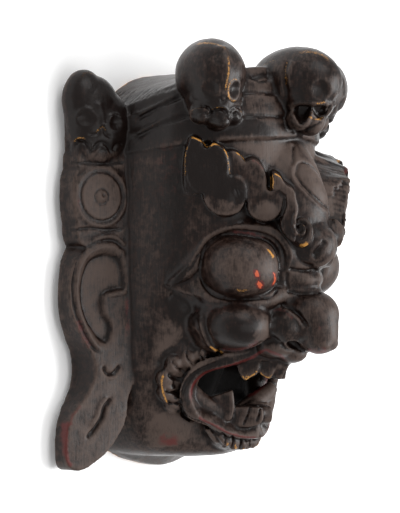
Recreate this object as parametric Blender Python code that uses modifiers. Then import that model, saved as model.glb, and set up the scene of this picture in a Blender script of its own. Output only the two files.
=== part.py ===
"""A carved wooden mask of a wrathful guardian, with a crown of five skulls and flat ear wings.

Metres, +Z up. The mask lies on its flat back, so the face looks up along +Z and the crown points along +Y.
The origin is under the middle of the mask, on the plane that it lies on. Sizes that describe the carving
are written in millimetres and go through MM.

The left half and the middle are modelled, and a mirror makes the other half. The carving is drawn in three
flat charts: FRONT looks straight down on the face, QUARTER looks at one cheek from 55 degrees to the side,
and WING is the sloping face of the ear wing.
"""

import math

import bmesh
import bpy
import numpy as np
from mathutils import Matrix, Vector

# ---------------------------------------------------------------- driving sizes
MM = 0.001
NODE = "mask"
COLLECTION = "bhairab mask"
SKIN = 7              # how far the raw forms run behind the back plane, which is sawn flat at the end
SOFT_GRID = 3.6       # the voxel size of the head's soft masses
FINE_GRID = 1.8       # the voxel size of the carving
FACES = 9300          # triangles that the carving keeps
SAW = 0.6             # side of the cube that saws the back flat, in metres
QUARTER_TURN = math.radians(55)
WING_ROOT = (101.7, 44)          # where the wing's face leaves the head: distance from the middle, height
WING_SLOPE = math.radians(20.8)  # how far the wing's face falls back on its way out
WING_LIFT = 0.14      # how fast the wing's back rises off the plane on its way out
WALL = 17             # thickness of the head's side walls round the hollow back
FACE_WALL = 30        # thickness from the head's front to the hollow, before the features
HOLLOW_ENDS = (-152, 138)
LOBE_TRIM = 0.84      # the right ear lobe is shorter than the left one by this factor
LOBE_START = (108, -100)  # where that lobe starts: distance from the middle, place along Y

# The head from chin to crown: place along Y, half width, depth of the face, squareness of the plan.
HEAD_ROWS = (
    (-180, 56, 78, 2.0),
    (-173, 80, 88, 2.0),
    (-150, 96, 89, 2.1),
    (-128, 100, 86, 2.5),
    (-102, 102, 88, 3.0),
    (-77, 103, 102, 2.8),
    (-56, 103, 115, 2.5),
    (-26, 103, 132, 2.5),
    (5, 103, 143, 2.5),
    (55, 103, 147, 2.5),
    (100, 103, 149, 2.5),
    (138, 102, 149, 2.5),
    (170, 98, 146, 2.5),
)
CROWN_TOP = 167       # height of the crown's crest, which falls away to both sides and most at the back
CROWN_FALL = 0.35
CROWN_LEVEL = 170     # height over the back plane where the fall would end

# The wedge of the snout: place along Y, half width, front. It stands on the face from SNOUT_BASE.
SNOUT_BASE = 56
SNOUT_ROWS = (
    (-36, 30, 140),
    (-66, 48, 154),
    (-86, 62, 152),
    (-113, 62, 132),
    (-138, 58, 116),
    (-158, 46, 108),
    (-172, 28, 100),
)
SNOUT_SQUARE = 1.3

# The lips from the middle of the upper one round the corner to the middle of the lower one.
LIP_OUTER = ((0, -85, 165), (-27, -72, 140), (-48, -84, 110), (-57, -90, 91), (-63, -106, 77), (-65, -123, 74),
             (-57, -138, 78), (-44, -144, 90), (-30, -155, 97), (0, -159, 113))
LIP_CREST = ((0, -93, 148), (-18, -82, 132), (-34, -94, 109), (-46, -100, 88), (-51, -110, 79), (-52, -122, 77),
             (-46, -136, 83), (-39, -139, 90), (-26, -148, 100), (0, -157, 112))
LIP_INNER = ((0, -97, 145), (-17, -91, 130), (-30, -95, 111), (-41, -102, 88), (-43, -112, 78), (-42, -123, 77),
             (-39, -127, 80), (-33, -133, 88), (-20, -141, 98), (0, -139, 118))
LIP_CORE = (0, -116, 55)         # the lips thicken towards this point
LIP_DEPTH = 17
LIP_RISE = 6                     # how far the crest stands up between its two slopes

# Teeth on one side: root, tip, half width, half thickness.
UPPER_TEETH = (
    ((-24, -92, 119), (-23, -109, 115), 9, 5),
    ((-13, -91, 134), (-11, -105, 130), 6.5, 5),
    ((-4, -93, 141), (-3.5, -106, 137), 5.5, 5),
)
LOWER_TEETH = (
    ((-31, -136, 90), (-28, -119, 100), 9, 5),
    ((-18, -142, 102), (-18, -131, 106), 6, 5),
    ((-9, -142, 110), (-9, -131, 113), 5, 5),
    ((-2, -142, 115), (-2, -132, 117), 4, 5),
)

# Strands of the beard: top, tip, radius.
BEARD = (
    ((-40, -147, 88), (-31, -162, 93), 4),
    ((-33, -151, 93), (-24, -167, 97), 5),
    ((-22, -155, 99), (-15, -170, 101), 5),
    ((-11, -157, 104), (-7, -173, 103), 5),
    ((0, -157, 108), (0, -174, 102), 5),
)

# Curled scales of the moustache: middle, radius.
MOUSTACHE_DEPTH = 9
MOUSTACHE = (
    ((-56, -81, 91), 9),
    ((-64, -87, 82), 10),
    ((-76, -92, 74), 11),
    ((-79, -105, 68), 10),
    ((-76, -117, 67), 10),
    ((-68, -128, 69), 10),
)

# Brow flames in the quarter chart: outline, front face.
FLAME_A = ((33, 107), (43, 104), (46, 99), (56, 100), (62, 96), (66, 88), (66, 75), (71, 71), (66, 60), (50, 57),
           (41, 54), (32, 60), (28, 68), (27, 83), (29, 98))
FLAME_B = ((64, 93), (71, 93), (78, 91), (82, 84), (88, 87), (94, 84), (99, 77), (100, 64), (98, 52), (86, 51),
           (76, 56), (66, 66))
FLAME_C = ((105, 75), (112, 71), (115, 64), (123, 59), (127, 51), (126, 42), (123, 34), (122, 27), (128, 21),
           (122, 11), (117, 19), (110, 31), (104, 42), (105, 61))
FLAMES = ((FLAME_A, 130), (FLAME_B, 135), (FLAME_C, 132))
FLAME_BULBS = (((64, 55, 122), (18.5, 16.5, 11)), ((98, 48, 126), (16, 16.5, 11)))

# The lid over the eye in the quarter chart: across, along, out.
LID = ((14, -24, 120), (24, -15, 122), (34, -5, 123), (42, 8, 123), (52, 19, 123), (66, 26, 123), (84, 27, 122),
       (98, 26, 120), (110, 20, 117), (119, 8, 114), (120, -5, 111), (117, -16, 107), (113, -23, 103))

# The ear wing in its own chart: the ear with its long lobe, the disc and the skull.
EAR = ((-12, 26), (11, 23), (24, 20), (34, 17), (48, 6), (56, -8), (59, -25), (58, -44), (50, -64), (39, -80),
       (34, -91), (34, -104), (42, -119), (54, -132), (61, -144), (64, -162), (63, -176), (56, -184), (44, -184),
       (29, -176), (19, -168), (10, -158), (2, -143), (-1, -125), (-6, -110), (-12, -90))
DISC = (28, 55, 27.5)            # distance out, place along Y, radius
WING_SKULL = ((11, 88), (29, 86), (46, 89), (45, 110), (42, 140), (40, 158), (30, 158), (14, 148), (4, 134),
              (1, 120), (4, 104))


# The headband: lines round the brow, at these angles from the front, as places along Y.
BAND_ANGLES = (0, 24, 43, 67)
BAND_BOTTOM = (108, 104, 99, 93)
BAND_TOP = (164, 160, 153, 139)
BAND_GROOVES = ((125, 126, 126, 110), (146, 146, 142, 126))
BAND_RISE = 4.5
BAND_CUT = 2.5

# Relief of the ear wing in its chart: outline, height, width of the slope.
CONCHA = ((-2, -12), (8, 4), (24, 8), (38, 2), (46, -12), (49, -32), (46, -52), (38, -66), (28, -72), (21, -66),
          (19, -52), (23, -44), (27, -34), (21, -28), (8, -26), (-2, -22))
EAR_RELIEF = ((CONCHA, -6, 3),)

# Strokes of the carving: chart, path, half width, height, closed.
STROKES = (
    ("wing", ((-2, 16), (18, 15), (36, 10), (50, -6), (54, -28), (52, -50), (42, -68), (29, -78), (19, -72)), 3, 2.5,
     False),
    ("wing", ((43, -157), (32, -150), (26, -140), (19, -125)), 2.5, -3, False),
    ("wing", ((28, -103), (22, -108), (16, -100)), 2, -2.5, False),
    ("wing", ((42, 124), (48, 128), (45, 134), (38, 134), (34, 128), (37, 123)), 2, -2, True),
    ("wing", ((10, 122), (18, 122), (19, 130), (13, 133), (8, 129)), 2, -2, True),
    ("front", ((-12, 65), (-6, 82), (0, 88), (6, 82), (12, 65), (6, 48), (0, 42), (-6, 48)), 2.2, 3, True),
    ("front", ((0, 101), (-9, 90), (-17, 66), (-9, 44), (0, 33)), 2.2, 2.5, False),
)


# ---------------------------------------------------------------- helpers
def clear_scene():
    """Remove every object that the file opened with."""
    for obj in list(bpy.data.objects):
        bpy.data.objects.remove(obj, do_unlink=True)


def metres(point):
    """Return a point given in millimetres as a vector in metres."""
    return Vector(point) * MM


def quarter(across, along, out):
    """Return the world point, in millimetres, of a place in the quarter chart of the left cheek."""
    turn = QUARTER_TURN
    return Vector((across * math.cos(turn) - out * math.sin(turn), along,
                   across * math.sin(turn) + out * math.cos(turn)))


def quarter_frame(out):
    """Return the matrix that stands a flat outline up in the quarter chart, this far out."""
    frame = Matrix.Rotation(-QUARTER_TURN, 4, "Y")
    frame.translation = quarter(0, 0, out) * MM
    return frame


def wing_top(x):
    """Return the height of the wing's face at a distance from the middle."""
    return WING_ROOT[1] - (abs(x) - WING_ROOT[0]) * math.tan(WING_SLOPE)


def wing(out, along, lift=0.0):
    """Return the world point, in millimetres, of a place in the wing's chart, this far above its face."""
    x = -WING_ROOT[0] - out * math.cos(WING_SLOPE) - lift * math.sin(WING_SLOPE)
    z = WING_ROOT[1] - out * math.sin(WING_SLOPE) + lift * math.cos(WING_SLOPE)
    return Vector((x, along, z))


def smooth_path(points, closed=False, steps=8):
    """Return a Catmull-Rom curve through the points, as an array."""
    points = np.asarray(points, float)
    count = len(points)
    spans = count if closed else count - 1
    path = []
    for span in range(spans):
        if closed:
            a, b, c, d = (points[(span + shift) % count] for shift in (-1, 0, 1, 2))
        else:
            a, b, c, d = (points[min(max(span + shift, 0), count - 1)] for shift in (-1, 0, 1, 2))
        for t in np.linspace(0, 1, steps, endpoint=False):
            path.append(0.5 * (2 * b + (c - a) * t + (2 * a - 5 * b + 4 * c - d) * t ** 2
                               + (3 * b - a - 3 * c + d) * t ** 3))
    if not closed:
        path.append(points[-1])
    return np.array(path)


def new_object(name, mesh):
    """Link a mesh to the scene as an object."""
    obj = bpy.data.objects.new(name, mesh)
    bpy.context.scene.collection.objects.link(obj)
    return obj


def settle(obj):
    """Centre an object over the origin, and move it to the mask's own collection."""
    corners = np.array([corner[:] for corner in obj.bound_box])
    middle = (corners.min(0) + corners.max(0)) / 2
    obj.data.transform(Matrix.Translation((-middle[0], -middle[1], 0)))
    obj.data.update()
    collection = bpy.data.collections.new(COLLECTION)
    bpy.context.scene.collection.children.link(collection)
    for old in list(obj.users_collection):
        old.objects.unlink(obj)
    collection.objects.link(obj)


def ball(centre, radii, frame=None):
    """Add an ellipsoid, given in millimetres. A frame turns it."""
    mesh = bpy.data.meshes.new("ball")
    bm = bmesh.new()
    bmesh.ops.create_uvsphere(bm, u_segments=36, v_segments=22, radius=MM)
    bmesh.ops.transform(bm, matrix=Matrix.Diagonal((*radii, 1)), verts=bm.verts)
    if frame is not None:
        bmesh.ops.transform(bm, matrix=frame, verts=bm.verts)
    bmesh.ops.translate(bm, vec=metres(centre), verts=bm.verts)
    bm.to_mesh(mesh)
    bm.free()
    return new_object("ball", mesh)


def loft(rings, name="loft"):
    """Skin a row of rings of points, given in millimetres, and close both ends."""
    mesh = bpy.data.meshes.new(name)
    bm = bmesh.new()
    rows = [[bm.verts.new(metres(point)) for point in ring] for ring in rings]
    for lower, upper in zip(rows, rows[1:]):
        for index in range(len(lower)):
            after = (index + 1) % len(lower)
            bm.faces.new((lower[index], lower[after], upper[after], upper[index]))
    bm.faces.new(list(reversed(rows[0])))
    bm.faces.new(rows[-1])
    bmesh.ops.recalc_face_normals(bm, faces=bm.faces)
    bm.to_mesh(mesh)
    bm.free()
    return new_object(name, mesh)


def curve_mesh(curve, frame):
    """Turn a curve into a welded mesh object that stands in a frame."""
    obj = bpy.data.objects.new(curve.name, curve)
    bpy.context.scene.collection.objects.link(obj)
    bpy.context.view_layer.update()
    mesh = bpy.data.meshes.new_from_object(obj.evaluated_get(bpy.context.evaluated_depsgraph_get()))
    bpy.data.objects.remove(obj, do_unlink=True)
    bm = bmesh.new()
    bm.from_mesh(mesh)
    bmesh.ops.remove_doubles(bm, verts=bm.verts, dist=0.00001)
    bmesh.ops.transform(bm, matrix=frame, verts=bm.verts)
    bmesh.ops.recalc_face_normals(bm, faces=bm.faces)
    bm.to_mesh(mesh)
    bm.free()
    return new_object(curve.name, mesh)


def slab(outline, thickness, frame, rounding=0.0):
    """Extrude a closed outline, in millimetres, to both sides of a frame's plane."""
    curve = bpy.data.curves.new("slab", "CURVE")
    curve.dimensions = "2D"
    curve.fill_mode = "BOTH"
    curve.extrude = (thickness / 2 - rounding) * MM
    curve.bevel_depth = rounding * MM
    curve.bevel_resolution = 2
    curve.offset = -rounding * MM
    path = smooth_path(outline, closed=True, steps=4)
    spline = curve.splines.new("POLY")
    spline.points.add(len(path) - 1)
    spline.use_cyclic_u = True
    for point, place in zip(spline.points, path):
        point.co = (place[0] * MM, place[1] * MM, 0, 1)
    return curve_mesh(curve, frame)


def tube(points, radii):
    """Sweep a round section, in millimetres, along a path."""
    curve = bpy.data.curves.new("tube", "CURVE")
    curve.dimensions = "3D"
    curve.use_fill_caps = True
    curve.bevel_depth = MM
    curve.bevel_resolution = 4
    path = smooth_path(points, steps=5)
    sizes = np.interp(np.linspace(0, 1, len(path)), np.linspace(0, 1, len(radii)), radii)
    spline = curve.splines.new("POLY")
    spline.points.add(len(path) - 1)
    for point, place, size in zip(spline.points, path, sizes):
        point.co = (*(place * MM), 1)
        point.radius = size
    return curve_mesh(curve, Matrix.Identity(4))


def apply_modifier(obj, kind, **settings):
    """Give an object a modifier and apply it."""
    modifier = obj.modifiers.new(kind.title(), kind)
    for key, value in settings.items():
        setattr(modifier, key, value)
    bpy.context.view_layer.update()
    mesh = bpy.data.meshes.new_from_object(obj.evaluated_get(bpy.context.evaluated_depsgraph_get()))
    old = obj.data
    obj.modifiers.clear()
    obj.data = mesh
    bpy.data.meshes.remove(old)


def join(name, forms):
    """Join objects into one, and remove them."""
    bm = bmesh.new()
    for form in forms:
        bm.from_mesh(form.data)
        bpy.data.objects.remove(form, do_unlink=True)
    mesh = bpy.data.meshes.new(name)
    bm.to_mesh(mesh)
    bm.free()
    return new_object(name, mesh)


def fuse(name, forms, grid):
    """Melt overlapping forms into one skin on a voxel grid, in millimetres."""
    obj = join(name, forms)
    apply_modifier(obj, "REMESH", mode="VOXEL", voxel_size=grid * MM)
    return obj


def mirrored(forms):
    """Return the forms with their mirror images across the middle."""
    half = join("half", forms)
    apply_modifier(half, "MIRROR", use_mirror_merge=False)
    return [half]


# ---------------------------------------------------------------- carving on a skin
class Clay:
    """The points of a mesh, in millimetres, which the carving pushes along the normals."""

    def __init__(self, obj):
        self.obj = obj
        count = len(obj.data.vertices)
        places = np.empty(count * 3)
        normals = np.empty(count * 3)
        obj.data.vertices.foreach_get("co", places)
        obj.data.vertices.foreach_get("normal", normals)
        self.places = places.reshape(-1, 3) / MM
        self.normals = normals.reshape(-1, 3)

    def finish(self):
        """Write the points back to the mesh."""
        self.obj.data.vertices.foreach_set("co", (self.places * MM).ravel())
        self.obj.data.update()

    def chart(self, name):
        """Return the points in a chart, and which of them face it."""
        x, y, z = np.abs(self.places[:, 0]), self.places[:, 1], self.places[:, 2]
        side = -np.sign(self.places[:, 0] + 1e-9)
        if name == "front":
            return np.stack([-x, y], 1), self.normals[:, 2] > 0.15
        if name == "quarter":
            turn = QUARTER_TURN
            across = -x * math.cos(turn) + z * math.sin(turn)
            facing = -side * self.normals[:, 0] * math.sin(turn) + self.normals[:, 2] * math.cos(turn)
            outward = x * math.sin(turn) + z * math.cos(turn)
            return np.stack([across, y], 1), (facing > 0.15) & (outward > 85)
        out = (x - WING_ROOT[0]) / math.cos(WING_SLOPE)
        lift = z - WING_ROOT[1] + (x - WING_ROOT[0]) * math.tan(WING_SLOPE)
        return np.stack([out, y], 1), (self.normals[:, 2] > 0.15) & (out > -4) & (lift > -8)


def path_distance(points, path):
    """Return each point's distance to a path, and how far along the path that is, from 0 to 1."""
    best = np.full(len(points), np.inf)
    where = np.zeros(len(points))
    spans = len(path) - 1
    for index in range(spans):
        start = path[index]
        step = path[index + 1] - start
        share = np.clip((points - start) @ step / max(step @ step, 1e-9), 0, 1)
        distance = np.linalg.norm(points - start - share[:, None] * step, axis=1)
        closer = distance < best
        best[closer] = distance[closer]
        where[closer] = (index + share[closer]) / spans
    return best, where


def stroke(clay, chart, points, width, height, closed=False):
    """Push a groove (height below 0) or a ridge along a path, fading at its ends."""
    flat, facing = clay.chart(chart)
    path = smooth_path(points, closed=closed)
    if closed:
        path = np.vstack([path, path[:1]])
    near = facing & np.all(flat > path.min(0) - 3 * width, 1) & np.all(flat < path.max(0) + 3 * width, 1)
    picked = np.flatnonzero(near)
    distance, where = path_distance(flat[picked], path)
    ends = 1.0 if closed else np.clip(np.minimum(where, 1 - where) * 8, 0.2, 1)
    amount = height * np.exp(-(distance / width) ** 2) * ends
    clay.places[picked] += clay.normals[picked] * amount[:, None]


def inside(points, outline):
    """Return which points lie inside a closed outline."""
    result = np.zeros(len(points), bool)
    for start, end in zip(outline, np.roll(outline, -1, axis=0)):
        crosses = (start[1] > points[:, 1]) != (end[1] > points[:, 1])
        slope = (end[0] - start[0]) / (end[1] - start[1] + 1e-12)
        result ^= crosses & (points[:, 0] < start[0] + slope * (points[:, 1] - start[1]))
    return result


def raise_region(clay, chart, points, height, edge):
    """Raise what lies inside a closed outline, or sink it (height below 0), with a slope at its edge."""
    flat, facing = clay.chart(chart)
    outline = smooth_path(points, closed=True)
    picked = np.flatnonzero(facing & np.all(flat > outline.min(0) - edge, 1) & np.all(flat < outline.max(0) + edge, 1))
    distance, _ = path_distance(flat[picked], np.vstack([outline, outline[:1]]))
    depth = np.where(inside(flat[picked], outline), distance, -distance)
    share = np.clip(depth / edge + 0.5, 0, 1)
    amount = height * share * share * (3 - 2 * share)
    clay.places[picked] += clay.normals[picked] * amount[:, None]


# ---------------------------------------------------------------- forms
def head_ring(row, base=-SKIN, floor=0.0, count=44):
    """Return one plan section of the head: a flat back and a rounded, squarish front."""
    along, half_width, depth, square = row
    ring = [(half_width, along, base), (-half_width, along, base)]
    for index in range(count + 1):
        angle = math.pi - math.pi * index / count
        cosine, sine = math.cos(angle), math.sin(angle)
        x = math.copysign(abs(cosine) ** (2 / square), cosine) * half_width
        ring.append((x, along, floor + abs(sine) ** (2 / square) * (depth - floor)))
    return ring


def head():
    """The head without its features."""
    return loft([head_ring(row) for row in HEAD_ROWS], "head")


def snout():
    """The wedge that carries the mouth."""
    rows = [(along, half_width, front, SNOUT_SQUARE) for along, half_width, front in SNOUT_ROWS]
    return loft([head_ring(row, base=SNOUT_BASE - 40, floor=SNOUT_BASE) for row in rows], "snout")


def soft_forms():
    """The soft masses of the face's left half and middle."""
    return [
        head(),
        snout(),
        ball((0, 26, 120), (44, 84, 60)),
        ball((-46, -6, 105), (34, 32, 22)),
        ball((-48, -56, 104), (34, 28, 24)),
        ball((0, -36, 140), (26, 44, 40)),
    ]


def chin_rim():
    """The flat rim under the jaw, bevelled towards the face."""
    def ring(height, inset):
        outline = smooth_path(((-92, -146), (-82, -168), (-68, -178), (-40, -187), (0, -193.6), (40, -187),
                               (68, -178), (82, -168), (92, -146)), steps=5)
        middle = np.array((0, -120))
        away = outline - middle
        away /= np.linalg.norm(away, axis=1)[:, None]
        return [(x, y, height) for x, y in outline - away * inset]
    return loft([ring(-SKIN, 0), ring(9, 0), ring(24, 11)], "rim")


def lip_ring():
    """The lips: two slopes that meet on a crest, with the mouth inside them."""
    outer, crest, inner = (smooth_path(points, steps=5) for points in (LIP_OUTER, LIP_CREST, LIP_INNER))
    core = np.array(LIP_CORE, float)
    rise = np.array(quarter(0, 0, 1))
    rings = []
    for a, b, c in zip(outer, crest, inner):
        deeper = [point + (core - point) / np.linalg.norm(core - point) * LIP_DEPTH for point in (c, a)]
        rings.append([a, b + rise * LIP_RISE, c, *deeper])
    for end in (0, -1):
        rings[end] = [point + np.array((2, 0, 0)) for point in rings[end]]
    return loft(rings, "lips")


def tooth(root, tip, half_width, half_thickness):
    """One tooth: a flattened cone from its root to its tip."""
    root, tip = np.array(root, float), np.array(tip, float)
    along = tip - root
    across = np.cross(along, quarter(0, 0, 1))
    across /= np.linalg.norm(across)
    out = np.cross(across, along)
    out /= np.linalg.norm(out)
    rings = []
    for share, size in ((-0.5, 1.0), (0.3, 1.0), (0.75, 0.75), (1.0, 0.3)):
        middle = root + along * share
        ring = []
        for index in range(12):
            angle = math.tau * index / 12
            side = math.copysign(abs(math.cos(angle)) ** 0.6, math.cos(angle))
            front = math.copysign(abs(math.sin(angle)) ** 0.6, math.sin(angle))
            ring.append(middle + (across * side * half_width + out * front * half_thickness) * size)
        rings.append(ring)
    return loft(rings, "tooth")


def wing_slab(outline, extra=0.0):
    """A piece of the ear wing: an outline in its chart, flat behind and sloping in front."""
    flat = [tuple(wing(out, along))[:2] for out, along in outline]
    depth = 2 * (SKIN + 30)
    piece = slab(flat, depth, Matrix.Translation(metres((0, 0, depth / 2 - SKIN))))
    for vertex in piece.data.vertices:
        if vertex.co.z > 0:
            vertex.co.z = (wing_top(vertex.co.x / MM) + extra) * MM
        else:
            vertex.co.z = max(wing_back(vertex.co.x / MM), -SKIN) * MM
    return piece


def wing_back(x):
    """Return the height of the wing's back at a distance from the middle."""
    return (abs(x) - WING_ROOT[0]) * WING_LIFT


def circle(centre_out, centre_along, radius, count=16):
    """Return a circle in a chart."""
    return [(centre_out + radius * math.cos(math.tau * i / count),
             centre_along + radius * math.sin(math.tau * i / count)) for i in range(count)]


def wing_forms():
    """The left ear wing: the ear, the disc above it and the skull on top."""
    out, along, radius = DISC
    tilt = Matrix.Rotation(-WING_SLOPE, 4, "Y")
    forms = [
        wing_slab(EAR),
        wing_slab(circle(out, along, radius)),
        wing_slab(circle(out, along, radius - 8), extra=3.0),
        wing_slab(WING_SKULL),
        ball(wing(out, along, 3), (7, 7, 4), tilt),
        ball(wing(31, 127, -9), (30, 39, 21), Matrix.Rotation(math.radians(-12), 4, "Z") @ tilt),
        ball(wing(27, 98, -4), (18, 14, 11), tilt),
    ]
    return forms


def skull(centre, turn, reach=0.0):
    """One skull of the crown: a cranium, cheekbones, a muzzle and round eyes, turned about Y."""
    frame = Matrix.Rotation(turn, 4, "Y")

    def placed(offset):
        return tuple(Vector(centre) + frame.to_3x3() @ Vector(offset))

    forms = [
        ball(placed((0, 8, -reach)), (30, 32, 35 + reach), frame),
        ball(placed((0, -10, 6)), (25, 26, 26), frame),
        ball(placed((0, -27, 15)), (13, 14, 16), frame),
    ]
    return forms


def crown_forms():
    """The skulls on the crown's left half and middle."""
    return skull((0, 151, 166), 0, 10) + skull((-76, 154, 115), math.radians(-28))


def flame_forms():
    """The left brow: three flames with curled tips that stand off the forehead."""
    forms = [slab(outline, 40, quarter_frame(front - 20), rounding=2.5) for outline, front in FLAMES]
    turn = Matrix.Rotation(-QUARTER_TURN, 4, "Y")
    forms += [ball(quarter(*middle), radii, turn) for middle, radii in FLAME_BULBS]
    return forms


def feature_forms():
    """The crisp features of the face's left half and middle."""
    forms = [
        ball((-50, -7, 129), (33, 27.5, 34)),
        ball((-50, -58, 125), (29, 22, 29)),
        tube([quarter(*place) for place in LID], (3, 6, 7, 7, 7, 7, 7.5, 8, 7, 6, 4)),
        ball((0, 12, 174), (23, 22, 22)),
        ball((0, -50, 171), (24, 24, 27)),
        ball((0, -69, 180), (17, 16, 18)),
        ball((-22, -56, 156), (17, 19, 17)),
        ball((0, -18, 157), (24, 10, 24)),
        ball((-11, -78, 143), (24, 11, 20)),
        lip_ring(),
        chin_rim(),
    ]
    forms += [tube((top, tip), (radius, radius * 0.7)) for top, tip, radius in BEARD]
    forms += [ball(middle, (radius, radius, MOUSTACHE_DEPTH)) for middle, radius in MOUSTACHE]
    return forms + flame_forms() + wing_forms() + crown_forms()


def hollow():
    """The hollow back, which follows the head inside its walls and closes in round curves."""
    low, high = HOLLOW_ENDS
    rings = []
    for share in np.linspace(0, 1, 15):
        along = low + (high - low) * (1 - math.cos(math.pi * share)) / 2
        half_width, depth = (np.interp(along, *zip(*[(row[0], row[column]) for row in HEAD_ROWS]))
                             for column in (1, 2))
        fullness = max(math.sin(math.pi * share), 0.2) ** 0.45
        rings.append(head_ring((along, (half_width - WALL) * fullness, (depth - FACE_WALL) * fullness, 2.6),
                               base=-SKIN - 5))
    return loft(rings, "hollow")


def mouth_cut():
    """The open mouth, from the lips through to the hollow."""
    left = [(x, y) for x, y, z in LIP_INNER]
    right = [(-x, y) for x, y in reversed(left[1:-1])]
    return slab(left + right, 160, Matrix.Translation(metres((0, 0, 120))))


# ---------------------------------------------------------------- assembly
def cut(obj, cutters):
    """Subtract cutters from an object, and remove them."""
    for cutter in cutters:
        apply_modifier(obj, "BOOLEAN", operation="DIFFERENCE", solver="EXACT", object=cutter)
        bpy.data.objects.remove(cutter, do_unlink=True)


def band_line(clay, heights):
    """Return, for each point, the place along Y of a line that runs round the brow from front to ear."""
    angle = np.degrees(np.arctan2(np.abs(clay.places[:, 0]), clay.places[:, 2]))
    return np.interp(angle, BAND_ANGLES, heights)


def carve_band(clay):
    """Raise the headband from the brow, with two grooves along it."""
    along = clay.places[:, 1]
    low, high = band_line(clay, BAND_BOTTOM), band_line(clay, BAND_TOP)
    on_head = (np.abs(clay.places[:, 0]) < 106) & (clay.places[:, 2] > 3) & (clay.normals[:, 1] < 0.8)
    rise = np.clip((along - low) / 2.5, 0, 1) * np.clip((high - along) / 4, 0, 1) * BAND_RISE
    for line in BAND_GROOVES:
        rise -= BAND_CUT * np.exp(-((along - band_line(clay, line)) / 2.2) ** 2)
    clay.places += clay.normals * (rise * on_head * (along > low - 3) * (along < high + 3))[:, None]


def carve_crown(clay):
    """Slope the top of the head down from the middle to the ears."""
    x, z = np.abs(clay.places[:, 0]), clay.places[:, 2]
    top = CROWN_TOP - CROWN_FALL * x * (1 - z / CROWN_LEVEL)
    clay.places[:, 1] = np.minimum(clay.places[:, 1], top)


def carve(clay):
    """Draw the grooves and ridges of the carving."""
    x, y = clay.places[:, 0], clay.places[:, 1]
    lobe = (x > LOBE_START[0]) & (y < LOBE_START[1])
    y[lobe] = LOBE_START[1] + (y[lobe] - LOBE_START[1]) * LOBE_TRIM
    for outline, height, edge in EAR_RELIEF:
        raise_region(clay, "wing", outline, height, edge)
    for chart, points, width, height, closed in STROKES:
        stroke(clay, chart, points, width, height, closed)


def sculpt(obj, action):
    """Let a function push an object's points about."""
    clay = Clay(obj)
    action(clay)
    clay.finish()


def wood():
    """Old dark wood under a worn patina."""
    material = bpy.data.materials.new("patinated wood")
    material.use_nodes = True
    shader = material.node_tree.nodes["Principled BSDF"]
    shader.inputs["Base Color"].default_value = (0.045, 0.030, 0.027, 1)
    shader.inputs["Roughness"].default_value = 0.42
    shader.inputs["Metallic"].default_value = 0.0
    return material


def build():
    """Model the mask as one solid."""
    soft = fuse("soft", mirrored(soft_forms()), SOFT_GRID)
    sculpt(soft, carve_crown)
    apply_modifier(soft, "SMOOTH", factor=0.6, iterations=8)
    soft = fuse("soft", [soft], FINE_GRID)
    sculpt(soft, carve_band)
    mask = fuse(NODE, [soft] + mirrored(feature_forms()), FINE_GRID)
    cut(mask, [hollow(), mouth_cut()])
    teeth = [tooth(*spec) for spec in UPPER_TEETH + LOWER_TEETH]
    mask = fuse(NODE, [mask] + mirrored(teeth), FINE_GRID)
    sculpt(mask, carve)
    apply_modifier(mask, "DECIMATE", ratio=FACES / (2 * len(mask.data.polygons)))
    bpy.ops.mesh.primitive_cube_add(size=SAW, location=(0, 0, -SAW / 2))
    cut(mask, [bpy.context.object])
    mask.data.materials.append(wood())
    settle(mask)


if __name__ == "__main__":
    clear_scene()
    build()
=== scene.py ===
"""A carved wooden guardian mask in its worn dark patina, lying on its flat back under soft light.

The carving is drawn in millimetres and scaled by MM. The left half and the middle are modelled, and a mirror
makes the right half. Broad forms are fused into one skin, the chisel work is pressed into that skin along
flat drawing boards, and the colours that the patina needs, with painted highlights and painted shade, are
worked into the points on the way.
"""

import logging
import math
from collections.abc import Sequence
from dataclasses import dataclass, field
from enum import Enum

import bpy
import numpy as np
from mathutils import Matrix, Vector

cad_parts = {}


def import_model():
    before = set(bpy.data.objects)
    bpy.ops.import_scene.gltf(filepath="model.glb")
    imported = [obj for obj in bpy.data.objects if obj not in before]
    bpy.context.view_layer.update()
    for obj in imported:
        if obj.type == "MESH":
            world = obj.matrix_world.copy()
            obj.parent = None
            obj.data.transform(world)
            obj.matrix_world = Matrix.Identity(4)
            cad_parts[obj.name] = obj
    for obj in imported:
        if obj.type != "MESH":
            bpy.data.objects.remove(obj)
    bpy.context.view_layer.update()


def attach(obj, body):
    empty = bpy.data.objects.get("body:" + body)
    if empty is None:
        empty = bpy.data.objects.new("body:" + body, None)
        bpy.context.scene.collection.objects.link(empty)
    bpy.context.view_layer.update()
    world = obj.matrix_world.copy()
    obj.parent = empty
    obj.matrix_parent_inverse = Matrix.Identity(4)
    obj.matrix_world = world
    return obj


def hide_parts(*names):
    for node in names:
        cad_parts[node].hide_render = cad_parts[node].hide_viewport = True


Object = bpy.types.Object
Point = tuple[float, float, float]
Flat = tuple[float, float]
Path = tuple[Flat, ...]

LOG = logging.getLogger("mask")
MM = 0.001
SOFT_GRID = 2.6       # voxel size of the head's soft masses
MELT_GRID = 1.8       # voxel size of the masses that melt into the face
GRID = 1.2            # voxel size of the carving
WELD = 0.01           # points nearer than this are one
SOFTEN = (0.6, 12)    # strength and rounds of the smoothing of the head's masses
MELT = (0.5, 9)       # strength and rounds of the smoothing of the masses that melt into the face
TRIANGLES = 190_000   # what the finished carving keeps
SKIN = 7.0            # how far the raw forms run behind the back, which is sawn flat at the end


# ---------------------------------------------------------------- places and paths
class Turn(Enum):
    """The turns about Y, in degrees, of the boards that the carving is drawn on."""

    FRONT = 0.0
    WING = -20.8
    QUARTER = -55.0
    SIDE = -90.0


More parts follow.
